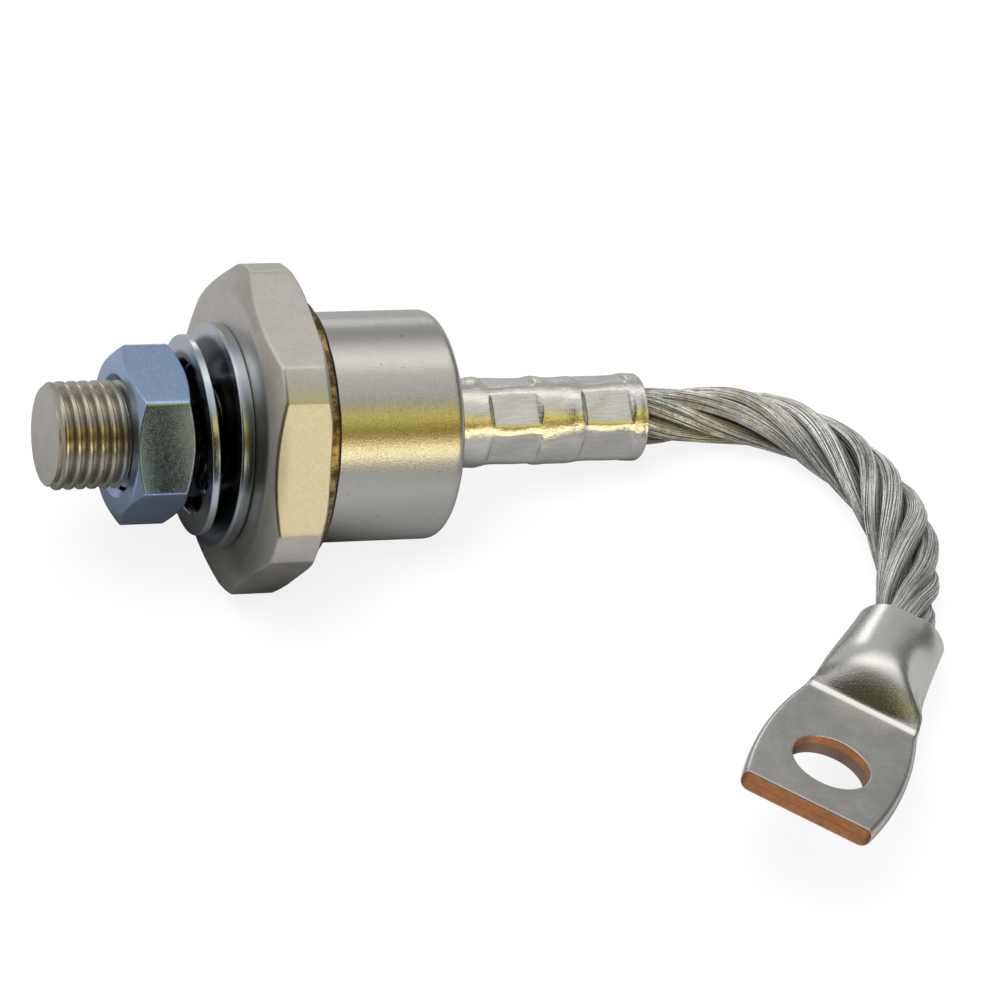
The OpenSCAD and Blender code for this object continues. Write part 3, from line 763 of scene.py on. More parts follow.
class DIODE_OT_stage(Step):
    """Floor, reflecting tent, lamps, world and camera"""
    bl_idname = "diode.stage"
    bl_label = "Stage"

    def execute(self, context):
        """Sets the stage; the floor and the tent are not part of the diode."""
        scene = context.scene
        scene.view_settings.view_transform = "Standard"
        self.camera(scene)
        self.world(scene)
        self.floor(scene, colours(context).floor)
        self.tent(scene)
        self.card(scene)
        for lamp in LAMPS:
            self.lamp(scene, *lamp)
        return {"FINISHED"}

    def camera(self, scene):
        """Camera on a sphere about its aim, turned about its own axis by the roll."""
        az, el, roll = (math.radians(v) for v in
                        (CAMERA_AZIMUTH, CAMERA_ELEVATION, CAMERA_ROLL))
        back = np.array([math.sin(az) * math.cos(el), -math.cos(az) * math.cos(el),
                         math.sin(el)])
        right = np.array([math.cos(az), math.sin(az), 0.0])
        up = np.cross(back, right)
        across = math.cos(roll) * right + math.sin(roll) * up
        above = -math.sin(roll) * right + math.cos(roll) * up
        place = np.array(CAMERA_AIM) + CAMERA_DISTANCE * back
        lens = bpy.data.cameras.new("camera")
        lens.lens = CAMERA_LENS
        lens.sensor_width = CAMERA_SENSOR
        lens.clip_start = CAMERA_NEAR * MM
        scene.camera = self.posed(scene, "camera", lens, (across, above, back), place)

    def posed(self, scene, name, data, axes, place):
        """A camera or lamp with the given X, Y and Z axes, at a place in millimetres."""
        made = bpy.data.objects.new(name, data)
        matrix = np.eye(4)
        matrix[:3] = np.stack([*axes, np.asarray(place) * MM], -1)
        made.matrix_world = Matrix(matrix.tolist())
        scene.collection.objects.link(made)
        return made

    def world(self, scene):
        """White behind the object, soft grey as light on it."""
        scene.world = bpy.data.worlds.new("studio")
        start = cleared(scene.world)
        seen, glossy, through = start.rays()
        soft, white = (start.add("Background", {"Color": colour})
                       for colour in ((0.14, 0.14, 0.14, 1.0), WHITE))
        share = (seen + glossy + through).math("MINIMUM", 1.0)
        share.blend(soft, white).show("OutputWorld")

    def stage_piece(self, scene, name, points, faces, material, mirrored=False):
        """A stage object of points in millimetres; only metal sees it if it is mirrored."""
        mesh = bpy.data.meshes.new(name)
        mesh.from_pydata((points.reshape(-1, 3) * MM).tolist(), [], faces.tolist())
        mesh.polygons.foreach_set("use_smooth", np.ones(len(mesh.polygons), bool))
        mesh.materials.append(material)
        made = bpy.data.objects.new(name, mesh)
        scene.collection.objects.link(made)
        if mirrored:
            for kind in ("camera", "diffuse", "transmission", "volume_scatter", "shadow"):
                setattr(made, "visible_" + kind, False)

    def sheet(self, points):
        """Faces over points [rows, columns, 3] that close round their columns."""
        return quads(wrapped(np.arange(points[..., 0].size).reshape(points.shape[:2]), 1))

    def floor(self, scene, tone):
        """A plain table top that is nearly white to the camera and keeps the shadow; to mirrors it
        shows painted shade under the diode, round the lug and beyond the stud's end.
        """
        material = bpy.data.materials.new("table_top")
        start = cleared(material)
        matt, dull, shaded = (start.add("BsdfDiffuse", {"Color": dimmed(tone, k)})
                              for k in (1.0, 0.34, 0.13))
        x, y, _ = start.add("TexCoord", None, "Object").parts()
        # Painted shade on the floor as metal sees it: darker under the diode, round the lug and
        # beyond the stud's end.
        painted_floor_shade = y.math("ABSOLUTE").step(0.034, 0.008) * x.step(-0.045, -0.020) \
            * x.step(0.075, 0.045) * (1.0 - 0.5 * x.step(0.004, 0.014))
        away = (x - 0.048) * (x - 0.048) + (y + 0.042) * (y + 0.042)
        painted_floor_shade = painted_floor_shade.math("MAXIMUM", away.math("SQRT").step(0.016, 0.004))
        left = x.step(-0.022, -0.040) * y.step(0.008, -0.004) * y.step(-0.060, -0.030)
        painted_floor_shade = painted_floor_shade.math("MAXIMUM", left * 0.9)
        white = start.add("Emission", {"Color": WHITE})
        pale = start.add("MixShader", {0: 0.86, 1: matt, 2: white})
        seen, glossy, through = start.rays()
        share = seen + (glossy + through) * (1.0 - painted_floor_shade) * 0.10
        share.blend(painted_floor_shade.blend(dull, shaded), pale).show()
        a = full_turn(96)
        r = np.array([1.0, 300.0, TABLE_R])[:, None]
        disc = np.stack([r * np.cos(a), r * np.sin(a), 0 * r * a + FLOOR_Z - 0.02], -1)
        self.stage_piece(scene, "table", disc, self.sheet(disc), material)

    def tent(self, scene):
        """A light tent that only metal sees, hung with strips along the diode's axis.

        A direction is split into its share along the axis and its angle round it, from the
        front at 0 over the top at 90 to the back at 180 degrees; the cloth's colour is a ramp
        of that angle. Its front is dark towards the stud, and its end dark beyond the lead.
        """
        material = bpy.data.materials.new("tent_cloth")
        material.cycles.emission_sampling = "NONE"
        start = cleared(material)
        place = start.add("TexCoord", None, "Object")
        way = start.add("VectorMath", {0: place}, operation="NORMALIZE")
        x, y, z = way.parts()
        along = x * math.cos(TILT) - z * math.sin(TILT)
        rise = x * math.sin(TILT) + z * math.cos(TILT)
        angle = rise.math("ARCTAN2", -y) / math.pi
        stops = [(at / 180.0, (*[0.5 * c for c in colour], 1.0)) for at, colour in STRIPS]
        glow = start.add("ValToRGB", {0: angle}, stops=stops)
        dark = along.step(0.28, -0.15) * angle.step(0.55, 0.35) * angle.step(-0.25, -0.10)
        glow = (dark * 0.95).mix(glow, (0.03, 0.028, 0.018, 1.0))
        glow = (along.step(0.56, 0.70) * 0.92).mix(glow, (0.04, 0.038, 0.033, 1.0))
        low = angle.step(0.88, 0.94) * along.step(0.34, 0.28) * along.step(0.08, 0.18)
        glow = low.mix(glow, (0.85, 0.85, 0.82, 1.0))
        start.add("Emission", {"Color": glow, "Strength": 2.0}).show()
        turn = full_turn(72)
        rise = np.radians(np.linspace(-2.0, 89.5, 40))[:, None]
        dome = TENT_R * np.stack([np.cos(rise) * np.cos(turn), np.cos(rise) * np.sin(turn),
                                  np.sin(rise) + 0 * turn], -1)
        self.stage_piece(scene, "tent", dome, self.sheet(dome), material, mirrored=True)

    def card(self, scene):
        """A small dark card that the nut's front flat mirrors."""
        material = bpy.data.materials.new("dark_card")
        black = {"Color": (0.015, 0.015, 0.013, 1.0)}
        cleared(material).add("Emission", black).show()
        self.stage_piece(scene, "card", np.array(CARD), np.array([[0, 1, 2, 3]]), material,
                         mirrored=True)

    def lamp(self, scene, name, place, wide, power):
        """A soft square lamp aimed at the middle of the object, not seen in the metal."""
        light = bpy.data.lights.new(name, "AREA")
        light.size = wide * MM
        light.energy = power
        way = np.array(CAMERA_AIM) - np.array(place)
        way = way / np.linalg.norm(way)
        side = np.cross(way, (0.0, 1.0, 0.0))
        side = side / np.linalg.norm(side)
        lamp = self.posed(scene, name, light, (side, np.cross(-way, side), -way), place)
        lamp.visible_glossy = False


def thread_root(s):
    """Radius at the bottom of the stud's thread."""
    return s.stud_d / 2 - THREAD_PLAY - THREAD_DEPTH * s.pitch


class DIODE_OT_base(Step):
    """Nickel plated copper base with its hex and threaded stud"""
    bl_idname = "diode.base"
    bl_label = "Base and stud"

    def execute(self, context):
        """Makes the base from one surface of angle and row, from the stud's end to the boss."""
        s = lengths(context)
        angles = hex_turn([0, 6, 12, 18, 21.5, 23, 23.5, 23.76, 24.1, 24.6, 26, 28, 30])
        rows = np.concatenate([self.stud(s, angles), self.hex(s, angles)], 1)
        verts, faces = lattice(turned(rows, angles)[None], caps="point")
        make_piece("base_and_stud", "stud_base", [(verts, faces, 0)],
                   [satin_nickel(colours(context).nickel)])
        return {"FINISHED"}

    def stud(self, s, angles):
        """Thread r(x, a): a truncated triangle wave of x / pitch - a / 360, cut by the end's
        bevel and running out at the seat."""
        depth = THREAD_DEPTH * s.pitch
        crest = s.stud_d / 2 - THREAD_PLAY
        x = np.arange(-s.stud_l, -0.02, s.pitch / 18)[None, :] + 0 * angles[:, None]
        wave = np.abs(2 * np.mod(x / s.pitch - angles[:, None] / TAU, 1.0) - 1)
        flank = np.clip((wave - 0.08) / 0.62, 0.0, 1.0)
        flank = 0.55 * flank + 0.45 * ease(flank)
        r = thread_root(s) + depth * flank * ease((-x - 0.9) / 0.8)
        bevel = crest - 0.42 + (x + s.stud_l) * 0.85
        r = soft_min(r, bevel, 0.05)
        end = np.stack([0 * x[:, :4] - s.stud_l,
                        np.linspace(0.8, r[:, 0] - 0.03, 4).T], -1)
        return np.concatenate([end, np.stack([x, r], -1)], 1)

    def hex(self, s, angles):
        """Seat, cone to the hex's side, side, rear face and boss: a rounded polyline whose
        outer radius follows the hex."""
        reach = hex_reach(angles, s.hex_af, s.hex_od / 2, 0.06)
        cone = (reach - s.seat_d / 2) * math.tan(math.radians(27.5))
        rear_r = np.minimum(reach - 0.14, s.hex_od / 2 - 0.9)
        rear = s.hex_t - (reach - rear_r) * math.tan(math.radians(30.0))
        boss = s.hex_t + s.pedestal_h
        corners = per_angle([
            (0.0, thread_root(s)), (0.0, s.seat_d / 2), (cone, reach), (rear, reach),
            (s.hex_t, rear_r), (s.hex_t, s.pedestal_d / 2), (boss, s.pedestal_d / 2),
            (boss, 1.0)], angles)
        return rounded(corners, [0.0, 0.35, 0.3, 0.12, 0.12, 0.1, 0.15, 0.0], 7, closed=False)


class DIODE_OT_case(Step):
    """Brushed can, welded ring and glass seal"""
    bl_idname = "diode.case"
    bl_label = "Case, ring and seal"

    def execute(self, context):
        """Turns the three closed profiles about the axis."""
        s, c = lengths(context), colours(context)
        a = full_turn(180)
        start = s.hex_t + s.ring_t
        end = start + s.case_l
        low, top = end - 2.0, end - 0.3  # the bead's two faces
        inner, outer, window = s.case_d / 2 - s.case_wall, s.case_d / 2, s.glass_d / 2 + 0.02
        bend = 9
        can = rounded([(start, inner), (start, outer), (end, outer), (end, window),
                       (low, window), (low, inner)],
                      [0.1, 0.12, 0.95 * s.case_rim, 0.15, 0.1, 0.4], bend)
        side = 2 * bend
        between = np.linspace(can[side - 1], can[side], 26)[1:-1]
        can = np.concatenate([can[:side], between, can[side:]])
        ring_piece("case_can", "case_shell", turned(can, a),
                   brushed_nickel(c.case))

        wavy = (0.06 * np.cos(3 * a + 0.7) + 0.05 * np.cos(7 * a + 2.1)
                + 0.035 * np.cos(16 * a + 1.0) + 0.025 * np.cos(29 * a + 4.0))
        edge, bore = s.ring_d / 2 - 0.1 + wavy, 8.3
        ring = per_angle([(s.hex_t, bore), (s.hex_t, edge), (start, edge - 0.1), (start, bore)], a)
        ring = rounded(ring, [0.1, 0.3, 0.4, 0.1], 7)
        ring_piece("weld_ring_tinted", "weld_ring", turned(ring, a),
                   heat_tint(c.braze))

        r = np.linspace(s.tube_d / 2 + 0.02, s.glass_d / 2, 17)
        t = 2 * (r - r[0]) / (r[-1] - r[0]) - 1
        hollow = 0.25 * (1 - t * t)
        bead = np.concatenate([np.stack([low + hollow, r], -1),
                               np.stack([top - hollow, r], -1)[::-1]])
        ring_piece("glass_bead", "glass_seal", turned(bead, a), seal_glass(c.glass))
        return {"FINISHED"}


class DIODE_OT_tube(Step):
    """Terminal tube with two rings of crimp flats"""
    bl_idname = "diode.tube"
    bl_label = "Terminal tube"

    def execute(self, context):
        """Makes r(x, a): the tube's radius, softly cut by the flats inside each crimp."""
        s = lengths(context)
        a = full_turn(180)
        case_end = s.hex_t + s.ring_t + s.case_l
        mouth = case_end + s.tube_l
        first = case_end - 3.6
        x = np.concatenate([np.linspace(first, case_end, 8),
                            np.linspace(case_end + 0.15, mouth - 0.3, 130)])
        r = self.skin(s, x[:, None], a[None, :], case_end, mouth)
        bore = s.lead_d / 2 + 0.05
        lip = rounded([(mouth - 0.3, 0.0), (mouth, 0.0), (mouth, -1.0), (mouth - 0.6, -1.0)],
                      [0, 0.24, 0.3, 0], 7, closed=False)
        depth = r[-1][None, :] - bore
        lip_r = r[-1][None, :] + lip[:, 1:] * depth
        back = np.array([mouth - 4.0, mouth - 12.0, first])
        xs = np.concatenate([x, lip[1:, 0], back])
        rs = np.concatenate([r, lip_r[1:], np.full((3, len(a)), bore)])
        profile = np.stack(np.broadcast_arrays(xs, rs.T), -1)
        ring_piece("crimped_tube", "terminal_tube", turned(profile, a),
                   tube_nickel(colours(context).tube))
        return {"FINISHED"}

    def skin(self, s, x, a, case_end, mouth):
        """Outside radius: soft minimum of the round tube and of crimp_af / 2 / cos(a) in the
        two crimps, with the metal that the press moved raised round each flat."""
        turn = np.mod(a + math.radians(2.0) + TAU / 12, TAU / 6) - TAU / 12
        flat = s.crimp_af / 2 / np.cos(turn)
        r = s.tube_d / 2 + 0 * x + 0 * a
        for low in (case_end + 4.6, mouth - 1.3 - s.crimp_l):
            into = np.minimum(x - low, low + s.crimp_l - x)
            r = r + (0.07 + 0.05 * np.cos(2 * a + low)) * np.exp(-((into + 0.4) / 0.7) ** 2)
            r = soft_min(r, flat + 0.5 * (1 - ease((into + 0.1) / 0.5)), 0.05)
        sway = 0.05 * np.cos(2 * a + 0.25 * x) + 0.04 * np.cos(3 * a - 0.6 * x + 1.0) \
            + 0.03 * np.cos(5 * a + 1.4 * x)
        return r - 0.02 + sway * ease((x - case_end) / 3.0)


class DIODE_OT_nut(Step):
    """Zinc plated hex nut"""
    bl_idname = "diode.nut"
    bl_label = "Nut"

    def execute(self, context):
        """Makes one closed loop per angle: faces, bevels that follow the hex, and bore."""
        s = lengths(context)
        a = hex_turn([0, 5, 10, 15, 20, 24, 26.5, 28, 28.8, 29.4, 30])
        reach = hex_reach(a, s.nut_af, s.nut_af / 2 / math.cos(TAU / 12) - 0.05, 0.10)
        start, end = NUT_END - s.nut_t, NUT_END
        flat = s.nut_af / 2 - 0.1
        bore, sink = s.stud_d / 2 + 0.05, 0.6
        bevel = (reach - flat) * math.tan(math.radians(30.0))
        loop = per_angle([
            (start, bore + sink), (start, flat), (start + bevel, reach), (end - bevel, reach),
            (end, flat), (end, bore + sink), (end - sink, bore), (start + sink, bore)], a)
        loop = rounded(loop, [0.1, 0.25, 0.16, 0.16, 0.25, 0.1, 0.1, 0.1], 6)
        points = swung(turned(loop, a), NUT_TURN, 1, 2) - [0.0, 0.0, NUT_DROP]
        ring_piece("zinc_nut", "hex_nut", points, nut_zinc(colours(context).zinc))
        return {"FINISHED"}


class DIODE_OT_washers(Step):
    """Toothed lock washer and plain washer on the stud"""
    bl_idname = "diode.washers"
    bl_label = "Washers"

    def execute(self, context):
        """Turns the two rings and adds the twisted teeth."""
        s, c = lengths(context), colours(context)
        finish = washer_zinc(c.washer)
        a = full_turn(144)
        hole = s.stud_d / 2 + 0.575
        plain = rounded([(-s.flat_t, hole), (-s.flat_t, s.flat_d / 2), (0, s.flat_d / 2),
                         (0, hole)], [0.12, 0.22, 0.30, 0.12], 7)
        ring_piece("plain_washer", "flat_washer",
                   turned(plain, a) + WASHER_MIDDLE, finish)
        half, outer = s.lock_t / 2, s.lock_d / 2
        inner = outer - 2.0
        ring = rounded([(-half, inner), (-half, outer), (half, outer), (half, inner)], 0.16, 6)
        teeth = self.teeth(s, hole)
        make_piece("toothed_washer", "lock_washer",
                   [(*lattice(self.leaned(turned(ring, a))[None], ring=True), 0),
                    (*lattice(self.leaned(teeth), caps="face"), 0)], [finish])
        return {"FINISHED"}

    def leaned(self, points):
        """The lock washer hangs upright on the sloping stud: its top leans to the nut."""
        return swung(points, LOCK_LEAN, 0, 2) + LOCK_MIDDLE

    def teeth(self, s, tip):
        """Ten blades: a rounded bar section carried inwards from the ring, turned about the
        spoke by an angle that grows smoothly to the twist."""
        section = rounded([(-0.5, -0.5), (0.5, -0.5), (0.5, 0.5), (-0.5, 0.5)], 0.22, 4)
        way = np.linspace(0.0, 1.0, 14)[:, None]
        root = s.lock_d / 2 - 1.7
        spoke = root + (tip - root) * way
        twist = math.radians(30.0) * ease(way / 0.6)
        wide = section[:, 0] * (s.tooth_w * (1.12 - 0.16 * way))
        thick = section[:, 1] * s.lock_t * 0.96
        across = wide * np.cos(twist) - thick * np.sin(twist)
        along = wide * np.sin(twist) + thick * np.cos(twist)
        spread = full_turn(10)[:, None, None] + 0.2
        y = spoke * np.cos(spread) - across * np.sin(spread)
        z = spoke * np.sin(spread) + across * np.cos(spread)
        return np.stack([along + 0 * y, y, z], -1)


def lug_matrix():
    """Turn of the lug: Rz Ry Rx of its three angles."""
    turn = Matrix.Identity(3)
    for axis, angle in zip("XYZ", LUG_TURN):
        turn = Matrix.Rotation(math.radians(angle), 3, axis) @ turn
    return np.array(turn)


def lead_path(count):
    """Points and frames along the lead: a curve through the route's points, each span
    0.5 (2b + (c-a)t + (2a-5b+4c-d)t^2 + (3b-a-3c+d)t^3), at even steps of length."""
    way = lug_matrix()
    mouth = np.array(LUG_MOUTH)
    end = mouth + way @ np.array([LEAD_IN_LUG, 0.0, 0.0])
    start = np.array(LEAD_START)
    stops = np.array([start, TUBE_MOUTH, *LEAD_ROUTE, mouth])
    knots = np.concatenate([[start - [5.2, 0.0, 0.0]], stops, [end]])
    t = np.linspace(0.0, 1.0, 24, endpoint=False)[None, :, None]
    a, b, c, d = (knots[k:len(knots) - 3 + k, None, :] for k in range(4))
    curve = 0.5 * (2 * b + (c - a) * t + (2 * a - 5 * b + 4 * c - d) * t ** 2
                   + (3 * b - a - 3 * c + d) * t ** 3)
    curve = np.concatenate([curve.reshape(-1, 3), [mouth, end]])
    far = np.concatenate([[0.0], np.cumsum(np.linalg.norm(np.diff(curve, axis=0), axis=1))])
    at = np.linspace(0.0, far[-1], count)
    spine = np.stack([np.interp(at, far, curve[:, k]) for k in range(3)], -1)
    ahead = np.gradient(spine, axis=0)
    ahead /= np.linalg.norm(ahead, axis=1, keepdims=True)
    side = np.cross(way[:, 2], ahead)
    side /= np.linalg.norm(side, axis=1, keepdims=True)
    return spine, side, np.cross(ahead, side), at


class DIODE_OT_lead(Step):
    """Twisted lead of fine tinned wires, and the lug on its end"""
    bl_idname = "diode.lead"
    bl_label = "Lead and lug"

    def execute(self, context):
        s, c = lengths(context), colours(context)
        lug = self.lug(s, c)
        spine, side, rise, at = lead_path(120)
        wires, shades, fills = self.bundles(s, spine, side, rise, at)
        wire_verts, wire_faces = lattice(wires, caps="face")
        fill_verts, fill_faces = lattice(fills, caps="face")
        # The fills between the wires get painted shade, nearly black.
        shade = np.concatenate([np.repeat(shades.ravel(), wires.shape[2]),
                                np.full(len(fill_verts), 0.05)])
        lead = make_piece("twisted_lead", "flexible_lead",
                          [(wire_verts, wire_faces, 0), (fill_verts, fill_faces, 0)],
                          [tinned_wire(c.wire)], shade)
        path = laid(spine)
        return {"FINISHED"}

    def bundles(self, s, spine, side, rise, at):
        """Wires [wires, rows, 3 sides] and fills of six bundles and a core.

        A bundle's middle turns round the lead by 360 degrees in one lay; its wires lie on an
        oval that turns slowly the other way, each with a small seeded sway. The lead opens at
        its bend and is pressed flat where it enters the lug.
        """
        rng = np.random.default_rng(7)
        rows = len(at)
        share = at / at[-1]
        open_up = np.exp(-((share - 0.57) / 0.17) ** 2)
        press = ease((share - 0.80) / 0.09)
        wide = (1 + 0.34 * open_up) * (1 - press) + 1.02 * press
        tall = (1 - 0.06 * open_up) * (1 - press) + 0.62 * press
        turn = TAU * at / s.lead_lay + 0.4
        middle_r, fat_r, fat_t, lean, power = 1.70, 0.80, 0.94, 0.28, 2.3
        bundles, per = 6, 36
        place = turn[None, :] + full_turn(bundles)[:, None]
        place = place + 0.15 * np.sin(TAU * share * 2.3 + rng.uniform(0, TAU, (bundles, 1)))
        swell = 1 + 0.06 * np.sin(TAU * share * 1.7 + rng.uniform(0, TAU, (bundles, 1)))
        out = pointing(place)
        along = np.stack([-np.sin(place), np.cos(place)], -1)
        slow = -TAU * at / 70.0
        oval = full_turn(per)[None, :, None] + slow + rng.uniform(0, TAU, (bundles, 1, 1))
        phase = rng.uniform(0, TAU, (3, bundles, per, 1))
        speed = rng.uniform(1.0, 4.0, (2, bundles, per, 1))
        loose = 0.025 + 0.09 * rng.random((bundles, per, 1)) ** 4
        sway = loose * np.sin(TAU * share * speed[0] + phase[0])
        drift = 0.06 * np.sin(TAU * share * speed[1] + phase[1])
        oval = oval + drift

        def around_lead(flat):
            """Points (u, v) across the lead, set out as spine + u side + v rise."""
            return spine[:, None] + flat[..., :1] * side[:, None] + flat[..., 1:] * rise[:, None]

        def ring_of(grow, angle):
            """A bundle's outline |cos a|^p + |sin a|^p = 1, grown, leaned about its middle and
            carried round the lead."""
            r = fat_r * swell[:, None, :] + grow
            t = fat_t * swell[:, None, :] * (1 - 0.10 * open_up) + grow
            shape = np.abs(np.cos(angle)) ** power + np.abs(np.sin(angle)) ** power
            k = shape ** (-1 / power)
            u, v = r * np.cos(angle) * k, t * np.sin(angle) * k
            far = middle_r + u * math.cos(lean) - v * math.sin(lean)
            over = u * math.sin(lean) + v * math.cos(lean)
            flat = far[..., None] * out[:, None] + over[..., None] * along[:, None]
            return flat * np.stack([wide, tall], -1)

        middle = ring_of(sway - s.wire_d / 2, oval)
        corner = full_turn(3)[None, None, None, :] + phase[2][..., None]
        offset = s.wire_d * 0.62 * pointing(corner)
        wires = around_lead(middle[..., None, :] + offset).reshape(bundles * per, rows, 3, 3)
        shades = 0.78 + 0.20 * rng.standard_normal((bundles, per, 1))
        pace = rng.uniform(9.0, 30.0, (2, bundles, per, 1))
        shift = rng.uniform(0, TAU, (2, bundles, per, 1))
        waves = np.sin(TAU * share * pace + shift)
        patch = np.sin(TAU * share * 7.3 + rng.uniform(0, TAU, (bundles, 1, 1)))
        shades = shades + 0.28 * waves[0] * waves[1] + 0.14 * patch
        # Brighter near the tube and darker towards the lug.
        shades = np.clip(shades, 0.15, 1.05) * (1.14 - 0.44 * ease((share - 0.30) / 0.45))
        # Painted shade: wires turned into the grooves between bundles are made darker.
        shades = shades * (0.06 + 0.94 * ease((np.cos(oval) + 0.30) / 0.9))

        hub = full_turn(12)[None, :, None] + 0 * oval[:, :1]
        core = ring_of(-s.wire_d * 0.5, hub).transpose(0, 2, 1, 3)
        heart = 1.05 * pointing(full_turn(12)) * np.stack([wide, tall], -1)[:, None]
        fills = around_lead(np.concatenate([core, heart[None]]))
        return wires, shades, fills

    def lug(self, s, c):
        """Pressed lug: sections across it, carried from inside the bore round the mouth and
        along to the cut end, with the hole's grid let into the palm."""
        grid, marks = self.sections(s)
        rows, columns = grid.shape[:2]
        verts = grid.reshape(-1, 3)
        index = np.arange(len(verts)).reshape(rows, columns)
        (begin, stop), top, low = marks
        keep = np.ones((rows - 1, columns), bool)
        for first, last in (top, low):
            keep[begin:stop, first:last] = False
        skin = quads(wrapped(index, 1)).reshape(rows - 1, columns, 4)[keep]
        upper, under = (index[begin:stop + 1, first:last + 1] for first, last in (top, low))

        def edge(block):
            """Indices once round the border of a block."""
            return np.concatenate([block[:-1, 0], block[-1, :-1], block[:0:-1, -1],
                                   block[0, :0:-1]])

        def at_height(xy, z):
            """Flat points (x, y) with a height z."""
            return np.concatenate([xy, z + 0 * xy[..., :1]], -1)

        above, below = edge(upper), edge(under[:, ::-1])
        middle = np.array([LUG_HOLE, 0.0])
        around = np.arctan2(verts[above, 1], verts[above, 0] - LUG_HOLE)
        rim = middle + s.hole_d / 2 * pointing(around)
        start = verts[above, :2]
        high, deep = verts[above, 2].mean(), verts[below, 2].mean()
        steps = np.array([0.35, 0.65, 0.86])[:, None, None]
        soft = 0.13
        rim_out = (rim - middle) * (1 + soft / (s.hole_d / 2)) + middle
        flat = start + (rim_out - start) * steps
        bend = np.linspace(0.0, TAU / 4, 5)[:, None, None]
        curl = rim_out + (rim - rim_out) * np.sin(bend)
        fall = soft * (1 - np.cos(bend))
        wall = np.concatenate([
            at_height(flat, high), at_height(curl, high - fall),
            at_height(curl, deep + fall)[::-1], at_height(flat, deep)[::-1]])
        inner = len(verts) + np.arange(wall[..., 0].size).reshape(wall.shape[:2])
        net = wrapped(np.concatenate([above[None], inner, below[None]]), 1)
        well = quads(net).reshape(len(net) - 1, -1, 4)
        verts = np.concatenate([verts, wall.reshape(-1, 3)])
        cut_row = len(steps) + len(bend)
        bare = well[cut_row - 2:cut_row + 3].reshape(-1, 4)
        tinned = np.concatenate([well[:cut_row - 2], well[cut_row + 3:]]).reshape(-1, 4)

        first, last = index[0], index[-1]
        spot = len(verts)
        verts = np.concatenate([verts, verts[first].mean(0)[None]])
        plug = np.stack([first[::-1], np.roll(first[::-1], -1), np.full(columns, spot)], -1)
        if self.turned_in(verts, skin, tinned):
            tinned, bare = tinned[:, ::-1], bare[:, ::-1]
        faces = outward(verts, [skin, tinned, plug, bare, last[None]])
        place = np.array(LUG_MOUTH) + verts @ lug_matrix().T
        return make_piece("pressed_lug", "terminal_lug",
                          [(place, faces, (0, 0, 0, 1, 1))],
                          [tin_plate(c.tin), bare_copper(c.copper)])

    def turned_in(self, verts, skin, well):
        """Whether the hole's faces run against the skin: where they share an edge of the
        palm's upper face, their normals should agree."""
        up = face_normals(verts, skin)
        flat = face_normals(verts, well)
        x, y, z = verts[skin].mean(1).T
        palm = (np.abs(x - 16.5) < 1.0) & (z > -1.4) & (np.abs(y) < 3.0)
        return np.sign(up[palm, 2].mean()) != np.sign(flat[:10, 2].mean())

    def sections(self, s):
        """Sections [rows, columns, 3] of the lug, and where the hole goes.

        Across: bottom, corner, side, corner, top, corner, side, corner. The top of the barrel
        goes from level at the mouth to a dome at the palm; its right side leans past a ridge.
        Its height over the palm falls as 1 - (1 - d)^4.5 of the distance d to the crease.
        """
        under, level = -2.7, 2.7
        mouth_w, mouth_r, crown = 8.0, 2.1, 1.05
        palm_top = under + s.palm_t
        slope_h, roll_l = 2 * level - s.palm_t, 7.4
        spans = ((0.5, 7.4, 26), (7.6, 13.0, 50), (13.3, LUG_HOLE - 4.5, 12),
                 (LUG_HOLE - 4.0, LUG_HOLE + 4.0, 21), (LUG_HOLE + 4.5, LUG_END - 0.14, 8))
        x = np.concatenate([np.linspace(*span) for span in spans])
        bow = 40.0
        root_w = s.palm_w - 2 * (bow - math.sqrt(bow ** 2 - (LUG_HOLE - LUG_CREASE) ** 2))
        palm = s.palm_w - 2 * (bow - np.sqrt(bow ** 2 - (x - LUG_HOLE) ** 2))
        share = np.clip(x / LUG_CREASE, 0.0, 1.0)
        barrel = mouth_w + (root_w - mouth_w) * share ** 1.5
        half = np.where(x < LUG_CREASE, barrel, palm)[:, None] / 2
        r_low = mouth_r + (s.palm_t / 2 - mouth_r) * ease((x - 4.0) / 8.4)
        r_right = 0.40 + 0.20 * ease((x - 11.6) / 1.6)
        r_left = 0.40 + 0.40 * ease((x - 3.0) / 6.0) - 0.20 * ease((x - 10.0) / 2.4)
        ridge = crown + 1.15 * np.clip(x / 9.0, 0.0, 1.0) + 2.7 * ease((x - 8.6) / 3.8)
        ridge = ridge[:, None]
        shaped = ease((x - 1.0) / 7.0)[:, None]
        round_left = np.clip(1.07 - 0.045 * x, 0.5, 1.0)[:, None]
        dome_half = root_w / 2 + 0.2
        dome_r = (dome_half ** 2 + slope_h ** 2) / (2 * slope_h)

        def domed(y):
            """Height of the top: level at the mouth, an arc over y at the crease."""
            dome = level - dome_r + np.sqrt(np.maximum(dome_r ** 2 - y * y, 0.2))
            return level + (dome - level) * share[:, None] ** 1.2

        def arc(past):
            """Fall level (1 - sqrt(1 - q^2)), where q grows from 0 at the crown to 1 at the
            side."""
            out = np.clip(past / (half - crown), 0.0, 0.98)
            return level * (1 - np.sqrt(1 - out ** 2))

